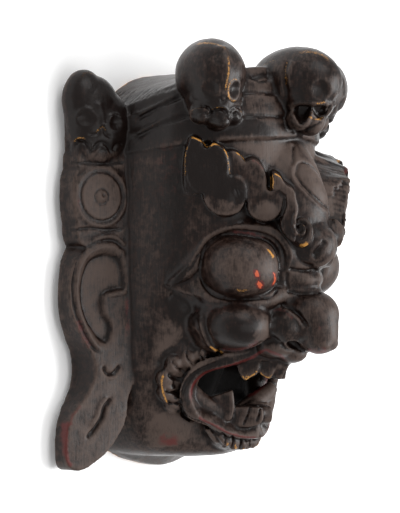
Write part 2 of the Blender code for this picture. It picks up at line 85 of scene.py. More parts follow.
@dataclass(frozen=True)
class Board:
    """A flat drawing board over part of the carving.

    Attributes:
        origin: Where its zero is.
        turn: Its turn about Y in degrees, to the left where it is negative.
        outwards: Whether it measures across from the middle to the side.
        floor: The lowest height over the board that it reaches.
        roof: The greatest height over the board that it reaches.
        facing: How far a surface has to face the board, as a cosine.
        both: Whether it draws on both halves of the mask.
    """

    origin: Point = (0.0, 0.0, 0.0)
    turn: float = Turn.FRONT.value
    outwards: bool = False
    floor: float = -1000.0
    roof: float = 1000.0
    facing: float = 0.15
    both: bool = True

    def frame(self) -> tuple[np.ndarray, np.ndarray]:
        """Return the board's directions across and out of its plane."""
        turn = math.radians(self.turn)
        across = np.array((math.cos(turn), 0.0, -math.sin(turn))) * (-1 if self.outwards else 1)
        return across, np.array((math.sin(turn), 0.0, math.cos(turn)))

    def point(self, across: float, along: float, out: float = 0.0) -> Point:
        """Return the place in space of a place on the board and its height over it."""
        side, up = self.frame()
        place = np.array(self.origin) + side * across + up * out
        return place[0], place[1] + along, place[2]


MIDDLE = Board(floor=135.0, both=False)
QUARTER = Board(turn=Turn.QUARTER.value, floor=85.0)
LEFT = Board(turn=Turn.QUARTER.value, floor=85.0, both=False)
TEETH = Board(turn=Turn.QUARTER.value, floor=62.0, roof=100.0)
MOUTH = Board(turn=Turn.QUARTER.value, floor=52.0, roof=100.0)
FAR_BROW = Board(turn=Turn.QUARTER.value, floor=-40.0, roof=40.0, facing=-1.0, both=False)
FAR_LIP = Board(turn=Turn.QUARTER.value, floor=0.0, roof=45.0, facing=0.0, both=False)
WING = Board((-101.7, 0.0, 44.0), Turn.WING.value, outwards=True, floor=-9.0)
SIDE = Board(turn=Turn.SIDE.value, floor=88.0)


def smooth_path(points: Sequence[Sequence[float]], closed: bool = False, steps: int = 8) -> np.ndarray:
    """Draw a smooth curve through points.

    Args:
        points: The points, in two or three dimensions.
        closed: Whether the last one leads back to the first.
        steps: How many points the curve has for each given one.

    Returns:
        The curve's points, one row each. A closed curve doesn't repeat its first one.
    """
    places = np.asarray(points, float)
    count = len(places)
    curve = []
    for span in range(count if closed else count - 1):
        near = range(span - 1, span + 3)
        a, b, c, d = places[[i % count if closed else min(max(i, 0), count - 1) for i in near]]
        for t in np.linspace(0, 1, steps, endpoint=False):
            curve.append(0.5 * (2 * b + (c - a) * t + (2 * a - 5 * b + 4 * c - d) * t ** 2
                                + (3 * b - a - 3 * c + d) * t ** 3))
    if not closed:
        curve.append(places[-1])
    return np.array(curve)


def ring(centre: Flat, radius: float, count: int = 16) -> Path:
    """Return the points of a circle on a board."""
    angles = [math.tau * i / count for i in range(count)]
    return tuple((centre[0] + radius * math.cos(a), centre[1] + radius * math.sin(a)) for a in angles)


def scalloped(outline: Path, pitch: float, depth: float) -> Path:
    """Return a closed outline whose edge is cut into small scallops.

    Args:
        outline: The outline.
        pitch: The scallops' length along the edge.
        depth: How deep they are.

    Returns:
        The points of the new outline.
    """
    places = smooth_path(outline, closed=True)
    steps = np.linalg.norm(places - np.roll(places, 1, axis=0), axis=1)
    swing = np.abs(np.sin(np.pi * np.cumsum(steps) / pitch)) - 1
    away = places - places.mean(axis=0)
    away /= np.linalg.norm(away, axis=1)[:, None]
    return tuple(map(tuple, places + away * (swing * depth)[:, None]))


def arc(centre: Flat, radii: Flat, start: float, end: float, count: int = 7) -> Path:
    """Draw an elliptic arc on a board.

    Args:
        centre: Its middle.
        radii: Its radii across and along.
        start: The angle where it starts, in degrees.
        end: The angle where it ends.
        count: How many points it has.

    Returns:
        Its points.
    """
    angles = np.radians(np.linspace(start, end, count))
    return tuple((centre[0] + radii[0] * math.cos(a), centre[1] + radii[1] * math.sin(a)) for a in angles)


def path_distance(flat: np.ndarray, path: np.ndarray) -> tuple[np.ndarray, np.ndarray]:
    """Measure how far points are from a path.

    Args:
        flat: The points, one row each.
        path: The path's points.

    Returns:
        Each point's distance, and how far along the path it is, from 0 to 1.
    """
    best = np.full(len(flat), np.inf)
    where = np.zeros(len(flat))
    spans = len(path) - 1
    for index in range(spans):
        step = path[index + 1] - path[index]
        share = np.clip((flat - path[index]) @ step / max(step @ step, 1e-9), 0, 1)
        gap = flat - path[index] - share[:, None] * step
        distance = np.einsum("ij,ij->i", gap, gap)
        closer = distance < best
        best[closer] = distance[closer]
        where[closer] = (index + share[closer]) / spans
    return np.sqrt(best), where


def inside(flat: np.ndarray, outline: np.ndarray) -> np.ndarray:
    """Return which points lie inside a closed outline."""
    result = np.zeros(len(flat), bool)
    for start, end in zip(outline, np.roll(outline, -1, axis=0)):
        crosses = (start[1] > flat[:, 1]) != (end[1] > flat[:, 1])
        slope = (end[0] - start[0]) / (end[1] - start[1] + 1e-12)
        result ^= crosses & (flat[:, 0] < start[0] + slope * (flat[:, 1] - start[1]))
    return result


def ease(values: np.ndarray) -> np.ndarray:
    """Return values from 0 to 1 with soft ends."""
    share = np.clip(values, 0, 1)
    return share * share * (3 - 2 * share)


# ---------------------------------------------------------------- the workbench
def choose(*objects: Object) -> None:
    """Select these objects alone, and make the first one active."""
    bpy.ops.object.select_all(action="DESELECT")
    for obj in objects:
        obj.select_set(True)
    bpy.context.view_layer.objects.active = objects[0]


def apply(obj: Object, kind: str, **settings: object) -> Object:
    """Give an object a modifier and apply it.

    Args:
        obj: The object.
        kind: The modifier's type.
        **settings: The modifier's values.

    Returns:
        The same object.
    """
    choose(obj)
    modifier = obj.modifiers.new(kind.title(), kind)
    for name, value in settings.items():
        setattr(modifier, name, value)
    bpy.ops.object.modifier_apply(modifier=modifier.name)
    return obj


def ball(centre: Point, radii: Point, turn: float = 0.0) -> Object:
    """Add an ellipsoid.

    Args:
        centre: Its middle.
        radii: Its radii along its own axes.
        turn: Its turn about Y, in degrees.

    Returns:
        The new object.
    """
    bpy.ops.object.select_all(action="DESELECT")
    bpy.ops.mesh.primitive_uv_sphere_add(
        segments=64, ring_count=40, radius=MM, location=[value * MM for value in centre],
        rotation=(0, math.radians(turn), 0), scale=radii)
    bpy.ops.object.transform_apply()
    return bpy.context.object


def smooth(obj: Object, factor: float, rounds: int) -> Object:
    """Smooth an object's surface."""
    return apply(obj, "SMOOTH", factor=factor, iterations=rounds)


def weld(obj: Object) -> None:
    """Merge an object's doubled points, close its holes and turn its faces outwards."""
    choose(obj)
    bpy.ops.object.mode_set(mode="EDIT")
    bpy.ops.mesh.select_all(action="SELECT")
    bpy.ops.mesh.remove_doubles(threshold=WELD * MM)
    bpy.ops.mesh.fill_holes(sides=0)
    bpy.ops.mesh.normals_make_consistent(inside=False)
    bpy.ops.object.mode_set(mode="OBJECT")


def loft(rings: Sequence[Sequence[Sequence[float]]]) -> Object:
    """Roll a grid into a tube and close its ends.

    Args:
        rings: The tube's rings, each a row of as many points.

    Returns:
        The new object.
    """
    rings = np.asarray(rings, float)
    bpy.ops.object.select_all(action="DESELECT")
    bpy.ops.mesh.primitive_grid_add(x_subdivisions=rings.shape[1], y_subdivisions=rings.shape[0] - 1)
    obj = bpy.context.object
    rolled = np.concatenate([rings, rings[:, :1]], axis=1) * MM
    obj.data.vertices.foreach_set("co", rolled.ravel())
    weld(obj)
    return obj


def finish_curve(curve: bpy.types.Curve, frame: Matrix) -> Object:
    """Turn a curve into a welded mesh that stands in a frame."""
    obj = bpy.data.objects.new(curve.name, curve)
    bpy.context.scene.collection.objects.link(obj)
    obj.matrix_world = frame
    choose(obj)
    bpy.ops.object.convert(target="MESH")
    bpy.ops.object.transform_apply()
    weld(obj)
    return obj


def tube(path: Sequence[Point], radii: Sequence[float]) -> Object:
    """Sweep a round section along a path.

    Args:
        path: The points that it follows.
        radii: Its radius at evenly spread places along the path.

    Returns:
        The new object.
    """
    curve = bpy.data.curves.new("tube", "CURVE")
    curve.dimensions = "3D"
    curve.use_fill_caps = True
    curve.bevel_depth = MM
    curve.bevel_resolution = 8
    places = smooth_path(path)
    sizes = np.interp(np.linspace(0, 1, len(places)), np.linspace(0, 1, len(radii)), radii)
    spline = curve.splines.new("POLY")
    spline.points.add(len(places) - 1)
    for point, place, size in zip(spline.points, places, sizes):
        point.co = (*(place * MM), 1)
        point.radius = size
    return finish_curve(curve, Matrix.Identity(4))


def slab(outline: Sequence[Flat], thickness: float, frame: Matrix, rounding: float = 0.0) -> Object:
    """Extrude a closed outline to both sides of a plane.

    Args:
        outline: The outline's points.
        thickness: The slab's thickness.
        frame: Where the plane stands, in metres.
        rounding: The radius of its edges.

    Returns:
        The new object.
    """
    curve = bpy.data.curves.new("slab", "CURVE")
    curve.dimensions = "2D"
    curve.fill_mode = "BOTH"
    curve.extrude = (thickness / 2 - rounding) * MM
    curve.bevel_depth = rounding * MM
    curve.bevel_resolution = 3
    curve.offset = -rounding * MM
    places = smooth_path(outline, closed=True, steps=6)
    spline = curve.splines.new("POLY")
    spline.points.add(len(places) - 1)
    spline.use_cyclic_u = True
    for point, place in zip(spline.points, places):
        point.co = (place[0] * MM, place[1] * MM, 0, 1)
    return finish_curve(curve, frame)


def block(side: int, outline: Path, front: float, depth: float, rounding: float, lean: float = 0.0,
          pivot: float = 0.0) -> Object:
    """Add a flat-faced block that is drawn on the quarter board.

    Args:
        side: -1 on the left, 1 on the right.
        outline: Its outline on the board.
        front: How far out its face is at the pivot.
        depth: How deep it is.
        rounding: The radius of its edges.
        lean: How far it leans outwards on its way up, in degrees.
        pivot: The place along the board about which it leans.

    Returns:
        The new object.
    """
    frame = Matrix.Rotation(-side * math.radians(Turn.QUARTER.value), 4, "Y") \
        @ Matrix.Rotation(math.radians(lean), 4, "X")
    x, y, z = QUARTER.point(0, pivot, front)
    frame.translation = (Vector((-side * x, y, z)) - frame.to_3x3() @ Vector((0, 0, depth / 2))) * MM
    leaning = tuple((-side * across, along - pivot) for across, along in outline)
    return slab(leaning, depth, frame, rounding)


def join(forms: list[Object]) -> Object:
    """Join objects into the first of them."""
    choose(*forms)
    if len(forms) > 1:
        bpy.ops.object.join()
    return forms[0]


def fuse(forms: list[Object], grid: float) -> Object:
    """Melt overlapping forms into one skin on a voxel grid."""
    return apply(join(forms), "REMESH", mode="VOXEL", voxel_size=grid * MM)


def mirrored(forms: list[Object]) -> Object:
    """Join forms with their mirror images across the middle."""
    return apply(join(forms), "MIRROR", use_mirror_merge=False)


def cut(obj: Object, cutter: Object) -> None:
    """Subtract a cutter from an object, and remove it."""
    apply(obj, "BOOLEAN", operation="DIFFERENCE", solver="MANIFOLD", object=cutter)
    bpy.data.objects.remove(cutter, do_unlink=True)


# ---------------------------------------------------------------- chisel work on a skin
class Tone(Enum):
    """What the patina carries, with painted highlights and painted shade, as columns of the colour
    attribute.
    """

    # dust, and painted highlights and sheen
    DUST_AND_HIGHLIGHT = 0
    RED = 1
    OCHRE = 2
    # black patina, and painted shade in hollows and openings
    SOOT_AND_SHADE = 3


class Clay:
    """The points of a mesh, which the chisel pushes along their normals and the patina colours."""

    def __init__(self, obj: Object) -> None:
        """Read the points of an object."""
        self.obj = obj
        count = len(obj.data.vertices)
        places = np.empty(count * 3)
        normals = np.empty(count * 3)
        obj.data.vertices.foreach_get("co", places)
        obj.data.vertices.foreach_get("normal", normals)
        self.places = places.reshape(-1, 3) / MM
        self.normals = normals.reshape(-1, 3)
        self.tones = np.zeros((count, len(Tone)))
        self.boards: dict[Board, tuple[np.ndarray, np.ndarray]] = {}

    def read(self, board: Board) -> tuple[np.ndarray, np.ndarray]:
        """Lay a board over the points.

        Args:
            board: The board.

        Returns:
            The numbers of the points that it reaches, and their places on it.
        """
        if board not in self.boards:
            fold = np.where(self.places[:, 0] > 0, -1.0, 1.0) if board.both else np.ones(len(self.places))
            offset = self.places * np.stack([fold, np.ones_like(fold), np.ones_like(fold)], 1) - board.origin
            across, out = board.frame()
            height = offset @ out
            facing = fold * self.normals[:, 0] * out[0] + self.normals[:, 2] * out[2]
            picked = np.flatnonzero((facing > board.facing) & (height > board.floor) & (height < board.roof))
            self.boards[board] = picked, np.stack([offset[picked] @ across, offset[picked, 1]], 1)
        return self.boards[board]

    def near(self, board: Board, path: np.ndarray, reach: float) -> tuple[np.ndarray, np.ndarray]:
        """Return the numbers and the places on a board of the points round a path."""
        picked, flat = self.read(board)
        close = np.all((flat > path.min(0) - reach) & (flat < path.max(0) + reach), axis=1)
        return picked[close], flat[close]

    def push(self, picked: np.ndarray, amount: np.ndarray) -> None:
        """Move some of the points along their normals."""
        self.places[picked] += self.normals[picked] * amount[:, None]

    def tint(self, picked: np.ndarray, tone: Tone, amount: np.ndarray) -> None:
        """Add a tone to some of the points."""
        self.tones[picked, tone.value] += amount

    def relief(self, rounds: int) -> np.ndarray:
        """Measure how far each point stands out of its surroundings.

        Args:
            rounds: How many points away the surroundings reach.

        Returns:
            The height of each point over them, below 0 in a groove.
        """
        count = len(self.places)
        edges = np.empty(len(self.obj.data.edges) * 2, np.int32)
        self.obj.data.edges.foreach_get("vertices", edges)
        one, two = edges.reshape(-1, 2).T
        links = np.bincount(one, minlength=count) + np.bincount(two, minlength=count)
        means = self.places.copy()
        for _ in range(rounds):
            totals = [np.bincount(one, axis[two], count) + np.bincount(two, axis[one], count)
                      for axis in means.T]
            means = np.stack(totals, 1) / np.maximum(links, 1)[:, None]
        return np.einsum("ij,ij->i", self.places - means, self.normals)

    def write(self) -> None:
        """Write the points back to the mesh."""
        self.obj.data.vertices.foreach_set("co", (self.places * MM).ravel())
        self.obj.data.update()


@dataclass(frozen=True)
class Stroke:
    """A groove, or a ridge where its height is above 0, drawn along a path.

    Attributes:
        board: The board that it is drawn on.
        path: The points that it goes through.
        width: Half its width.
        height: How far it stands up.
        closed: Whether it leads back to its start.
        fade: The share of its length over which it fades at each end.
        tone: What it is coloured with.
        amount: How strongly.
    """

    board: Board
    path: Path
    width: float = 1.5
    height: float = -1.5
    closed: bool = False
    fade: float = 0.12
    tone: Tone | None = None
    amount: float = 1.0

    def apply(self, clay: Clay) -> None:
        """Press the stroke into the clay."""
        path = smooth_path(self.path, self.closed, steps=6)
        if self.closed:
            path = np.vstack([path, path[:1]])
        picked, flat = clay.near(self.board, path, 3 * self.width)
        distance, where = path_distance(flat, path)
        ends = 1.0 if self.closed else np.clip(np.minimum(where, 1 - where) / self.fade, 0.1, 1)
        share = np.exp(-(distance / self.width) ** 2) * ends
        if self.height:
            clay.push(picked, self.height * share)
        if self.tone is not None:
            clay.tint(picked, self.tone, self.amount * share)


@dataclass(frozen=True)
class Region:
    """What lies inside a closed outline, raised, sunk or coloured as a whole.

    Attributes:
        board: The board that it is drawn on.
        outline: The points of its outline.
        height: How far it stands up.
        edge: The width of the slope at its edge.
        share: How much of the height its outline itself has: 0 makes a cushion inside it.
        tone: What it is coloured with.
        amount: How strongly.
    """

    board: Board
    outline: Path
    height: float = 0.0
    edge: float = 2.0
    share: float = 0.5
    tone: Tone | None = None
    amount: float = 1.0

    def apply(self, clay: Clay) -> None:
        """Raise, sink or colour the region."""
        outline = smooth_path(self.outline, closed=True, steps=6)
        picked, flat = clay.near(self.board, outline, self.edge)
        distance, _ = path_distance(flat, np.vstack([outline, outline[:1]]))
        share = ease(np.where(inside(flat, outline), distance, -distance) / self.edge + self.share)
        if self.height:
            clay.push(picked, self.height * share)
        if self.tone is not None:
            clay.tint(picked, self.tone, self.amount * share)


@dataclass(frozen=True)
class Dimple:
    """A round hollow, or a boss where its height is above 0, with a rim round it.

    Attributes:
        board: The board that it is drawn on.
        centre: Its middle.
        radii: Its radii across and along.
        height: How far its middle stands up.
        rim: How far its rim stands up.
        tilt: Its turn on the board, in degrees.
    """

    board: Board
    centre: Flat
    radii: Flat
    height: float
    rim: float = 0.0
    tilt: float = 0.0

    def apply(self, clay: Clay) -> None:
        """Press the dimple into the clay."""
        picked, flat = clay.near(self.board, np.array([self.centre]), 2 * max(self.radii))
        turn = math.radians(self.tilt)
        offset = flat - self.centre
        across = offset[:, 0] * math.cos(turn) + offset[:, 1] * math.sin(turn)
        along = offset[:, 1] * math.cos(turn) - offset[:, 0] * math.sin(turn)
        reach = np.hypot(across / self.radii[0], along / self.radii[1])
        edge = np.exp(-((reach - 1.08) / 0.16) ** 2)
        clay.push(picked, self.height * (1 - np.clip(reach, 0, 1) ** 2) ** 1.5 + self.rim * edge)


Mark = Stroke | Region | Dimple


# ---------------------------------------------------------------- the head
@dataclass
class Head:
    """The block of the head, its snout, its headband and the hollow behind it.

    Attributes:
        rows: Sections from chin to crown: place along Y, half width, depth, squareness.
        snout: Sections of the wedge that carries the mouth: place along Y, half width, front.
        snout_base: The height that the wedge stands on.
        swellings: Middles and radii of the forehead, the eye's and the cheek's beds and the nose's root.
        crown: The crown's crest, how fast it falls, and the height where the fall would end.
        chin_edge: The outline of the flat rim under the jaw.
        chin_steps: The rim's heights, and how far in it is there.
        wall: The thickness of the side walls.
        face_wall: The thickness from the head's front to the hollow.
        hollow_ends: The hollow's ends along Y.
        band_angles: Angles from the front at which the headband's lines are given.
        band_bottom: The band's lower edge at those angles, along Y.
        band_top: The band's upper edge there.
        band_lines: The two lines along the band.
        third_eye: The outline of the third eye on the forehead.
    """

    rows: tuple[tuple[float, ...], ...] = (
        (-180, 56, 78, 2.0), (-173, 80, 88, 2.0), (-150, 96, 89, 2.1), (-128, 100, 86, 2.5),
        (-102, 102, 88, 3.0), (-77, 103, 102, 2.8), (-56, 103, 115, 2.5), (-26, 103, 132, 2.5),
        (5, 103, 146, 2.5), (55, 103, 154, 2.5), (100, 103, 156, 2.5), (138, 102, 153, 2.5),
        (176, 97, 146, 2.5))
    snout: tuple[tuple[float, float, float], ...] = (
        (-36, 30, 140), (-66, 48, 154), (-86, 62, 152), (-113, 62, 132), (-138, 58, 116), (-158, 46, 108),
        (-172, 28, 100))
    snout_base: float = 56.0
    swellings: tuple[tuple[Point, Point], ...] = (
        ((0, 30, 122), (46, 92, 63)), ((-46, -6, 105), (34, 32, 22)), ((-48, -56, 104), (34, 28, 24)),
        ((0, -36, 140), (26, 44, 40)))
    crown: tuple[float, float, float] = (172.5, 0.0047, 170.0)
    chin_edge: Path = ((-92, -146), (-82, -168), (-68, -178), (-40, -187), (0, -193.6), (40, -187),
                       (68, -178), (82, -168), (92, -146))
    chin_steps: Path = ((-SKIN, 0), (9, 0), (10.5, 0.6), (24, 11))
    wall: float = 17.0
    face_wall: float = 30.0
    hollow_ends: Flat = (-152.0, 138.0)
    band_angles: tuple[float, ...] = (0, 24, 43, 67)
    band_bottom: tuple[float, ...] = (108, 104, 99, 93)
    band_top: tuple[float, ...] = (164, 160, 153, 139)
    band_lines: tuple[tuple[float, ...], ...] = ((125, 126, 126, 110), (146, 146, 142, 126))
    third_eye: Path = ((-13, 86), (-18, 80), (-20, 73), (-14, 61), (0, 50), (14, 46), (22, 47), (19, 60),
                       (10, 75), (-3, 85))

    def section(self, row: tuple[float, ...], base: float, floor: float = 0.0,
                count: int = 72) -> list[Point]:
        """Draw one section of the head, flat behind and a rounded square in front.

        Args:
            row: Its place along Y, half width, depth and squareness.
            base: The height of its flat back.
            floor: The height where its round front starts.
            count: How many steps the front has.

        Returns:
            The section's points.
        """
        along, half_width, depth, square = row
        points = [(half_width, along, base), (-half_width, along, base)]
        for index in range(count + 1):
            angle = math.pi - math.pi * index / count
            cosine, sine = math.cos(angle), math.sin(angle)
            across = math.copysign(abs(cosine) ** (2 / square), cosine) * half_width
            points.append((across, along, floor + abs(sine) ** (2 / square) * (depth - floor)))
        return points

    def soft_forms(self) -> list[Object]:
        """Add the head's soft masses, left half and middle."""
        rows = smooth_path(self.rows, steps=4)
        snout = smooth_path([(*row, 1.3) for row in self.snout], steps=4)
        return [
            loft([self.section(row, -SKIN) for row in rows]),
            loft([self.section(row, self.snout_base - 40, self.snout_base) for row in snout]),
            *(ball(*swelling) for swelling in self.swellings),
        ]

    def chin_rim(self) -> Object:
        """Add the flat rim under the jaw, bevelled towards the face."""
        outline = smooth_path(self.chin_edge)
        away = outline - np.array((0, -120))
        away /= np.linalg.norm(away, axis=1)[:, None]
        return loft([[(x, y, height) for x, y in outline - away * inset]
                     for height, inset in self.chin_steps])

    def slope_crown(self, clay: Clay) -> None:
        """Slope the top of the head down from the middle to the ears."""
        top, fall, level = self.crown
        across, height = np.abs(clay.places[:, 0]), clay.places[:, 2]
        clay.places[:, 1] = np.minimum(clay.places[:, 1], top - fall * across ** 2 * (1 - height / level))

    def split_grain(self, clay: Clay) -> None:
        """Press the open grain of the wood into the top of the head."""
        x, y, z = clay.places.T
        layers = z + 0.045 * np.abs(x) + 2.2 * np.sin(np.abs(x) * 0.07 + z * 0.11)
        grain = np.sin(layers * 0.75) + 0.7 * np.sin(layers * 1.9 + x * 0.02) + 0.5 * np.sin(layers * 3.1)
        top = ease((clay.normals[:, 1] - 0.35) / 0.3) * ease((154 - y) / 3) * (y > 120) * (np.abs(x) < 104)
        clay.places -= clay.normals * (0.55 * np.clip(grain - 0.25, 0, 1.2) * top)[:, None]

    def line(self, clay: Clay, places: tuple[float, ...]) -> np.ndarray:
        """Return, for each point, the place along Y of a line that runs round the brow."""
        angle = np.degrees(np.arctan2(np.abs(clay.places[:, 0]), clay.places[:, 2]))
        return np.interp(angle, self.band_angles, places)

    def carve_band(self, clay: Clay) -> None:
        """Raise the headband in three steps, with sunk panels near the ears."""
        x, along, z = clay.places.T
        low, high = self.line(clay, self.band_bottom), self.line(clay, self.band_top)
        on_head = (np.abs(x) < 106) & (z > 3) & (clay.normals[:, 1] < 0.8)
        rise = np.clip((along - low) / 2, 0, 1) * np.clip((high - along) / 3, 0, 1) * 4.5
        angle = np.degrees(np.arctan2(np.abs(x), z))
        panel = ease((angle - 46) / 8) * ease((92 - angle) / 8)
        levels = [low, *(self.line(clay, line) for line in self.band_lines), high]
        for index, line in enumerate(levels[1:3]):
            rise -= (2.2 - panel) * np.exp(-((along - line) / 1.3) ** 2)
            rise -= 0.7 * index * ease((along - line) / 2)
        for bottom, top in zip(levels, levels[1:]):
            share = (along - bottom) / np.maximum(top - bottom, 1)
            rise -= 2.6 * panel * ease(share / 0.18) * ease((1 - share) / 0.3)
        band = on_head & (along > low - 3) & (along < high + 3)
        clay.places += clay.normals * (rise * band)[:, None]

    def hollow(self) -> Object:
        """Add the cutter for the hollow back."""
        low, high = self.hollow_ends
        columns = list(zip(*self.rows))
        rings = []
        for share in np.linspace(0, 1, 41):
            along = low + (high - low) * (1 - math.cos(math.pi * share)) / 2
            half_width = np.interp(along, columns[0], columns[1]) - self.wall
            depth = np.interp(along, columns[0], columns[2]) - self.face_wall
            full = max(math.sin(math.pi * share), 0.2) ** 0.45
            rings.append(self.section((along, half_width * full, depth * full, 2.6), -SKIN - 5))
        return loft(rings)

    def marks(self) -> list[Mark]:
        """Return the chisel marks of the forehead and the jaw."""
        return [
            Region(MIDDLE, self.third_eye, 1.8, 10.0, share=0.0),
            Stroke(MIDDLE, self.third_eye, 1.1, -1.5, closed=True),
            Stroke(MIDDLE, ((-15, 88), (-22, 80), (-23.5, 70), (-17, 57), (-2, 45), (14, 41)), 1.2, 1.2),
            # the sunk panels of the band
            Stroke(QUARTER, ((-16, 123), (-4, 129), (8, 135), (27, 143)), 1.5, -1.7),
            Stroke(QUARTER, ((-16, 107), (-4, 113), (8, 118.5), (34, 126)), 1.5, -1.7),
            Stroke(QUARTER, ((-15, 127), (-3, 132.5), (8, 138), (24, 145)), 1.6, 1.0),
            Stroke(QUARTER, ((-15, 111), (-3, 116.5), (8, 122), (30, 129)), 1.6, 1.0),
            # creases of the forehead, the temple, the cheek and the jaw
            Stroke(MIDDLE, ((-9, 102), (-15, 93), (-21, 82)), 1.3, -1.4),
            Stroke(QUARTER, ((14, -31), (24, -35), (31, -41), (36, -49)), 5.0, -3.0),
            Stroke(QUARTER, ((8, -22), (20, -29), (34, -33)), 1.6, -1.2),
            Stroke(QUARTER, ((6, -98), (14, -84), (30, -72), (41, -66)), 6.0, -2.4),
            Stroke(QUARTER, ((14, -131), (30, -141), (48, -149), (57, -160), (63, -170)), 2.2, -1.2),
        ]


# ---------------------------------------------------------------- the eyes and the brow
@dataclass
class Eye:
    """A bulging eye under a heavy lid.

    Attributes:
        ball: The eyeball's middle and radii.
        lid: The upper lid on the quarter board: across, along, out.
        lid_radii: The lid's radius from its outer corner to its inner one.
        pocket: A fill between the lid and the ball, on the quarter board.
        pocket_radius: Its radius.
        pouch: The swelling under the ball, on the quarter board.
        pouch_radii: Its radius from its inner end to its outer one.
        groove: The line between the lid and the ball.
        lower_lid: The fold under the ball.
    """

    ball: tuple[Point, Point] = ((-50.5, -6.5, 129.5), (36.5, 30.5, 35.5))
    lid: tuple[Point, ...] = (
        (14, -24, 120), (24, -15, 122), (34, -5, 123), (42, 8, 123), (52, 19, 123), (66, 26, 123),
        (84, 27, 122), (98, 26, 120), (110, 20, 117), (119, 8, 114), (120, -5, 111), (117, -16, 107),
        (113, -23, 103))
    lid_radii: tuple[float, ...] = (3, 6, 7, 7, 7, 7, 7.5, 8, 7, 6, 4)
    pocket: tuple[Point, ...] = (
        (41, -12, 117), (42, -2, 118), (45, 8, 119), (52, 16, 120), (61, 21, 121), (74, 22, 121),
        (87, 20, 120), (99, 16, 117), (107, 10, 114), (111, 1, 111), (112, -10, 108), (109, -20, 107))
    pocket_radius: float = 5.0
    pouch: tuple[Point, ...] = (
        (36, -21, 119), (44, -29, 120), (56, -36, 122), (72, -38.5, 124), (88, -38, 123), (101, -35, 117),
        (112, -32, 109), (120, -34, 103))
    pouch_radii: tuple[float, ...] = (5, 7.5, 9, 9, 9, 9)
    groove: Path = ((41, -8), (43, 2), (46, 10), (52, 17), (60, 21), (72, 22.5), (87, 20), (99, 17),
                    (107, 11), (111, 1), (112, -10), (111, -19))
    lower_lid: Path = ((41, -8), (42, -16), (47, -26), (55, -32.5), (67, -35), (84, -35), (96, -34.5),
                       (105, -33), (110, -26))

    def masses(self) -> list[Object]:
        """Add the folds round the left eye, which melt into the face."""
        return [
            tube([QUARTER.point(*place) for place in self.lid], self.lid_radii),
            tube([QUARTER.point(*place) for place in self.pocket], (self.pocket_radius,) * 3),
            tube([QUARTER.point(*place) for place in self.pouch], self.pouch_radii),
        ]

    def forms(self) -> list[Object]:
        """Add the left eyeball."""
        return [ball(*self.ball)]

    def marks(self) -> list[Mark]:
        """Return the chisel marks round the eye."""
        return [
            Stroke(QUARTER, self.groove, 1.3, -1.8, fade=0.05),
            Stroke(QUARTER, self.lower_lid, 1.2, -1.8, fade=0.05),
            Stroke(QUARTER, ((45, 0), (50, 9), (57, 15), (66, 18), (78, 18), (90, 15), (100, 9)), 1.3, 0.6),
            Stroke(QUARTER, ((15, -25), (25, -22), (34, -18), (41, -10)), 1.5, -1.2),
            Stroke(QUARTER, ((14, -27), (27, -30), (40, -31), (48, -30)), 2.2, 0.9),
            Stroke(QUARTER, ((10, -22), (20, -16), (29, -9), (36, 1), (44, 15), (55, 24), (71, 28.5),
                             (90, 29), (105, 27), (116, 18), (122, 4), (120, -6), (116, -22)), 1.3, 0.9),
            Stroke(QUARTER, ((22, -17), (31, -10), (38, 0), (46, 12), (56, 20), (71, 25), (89, 24),
                             (103, 20), (112, 12), (116, 0), (115, -12)), 1.4, -1.2),
        ]


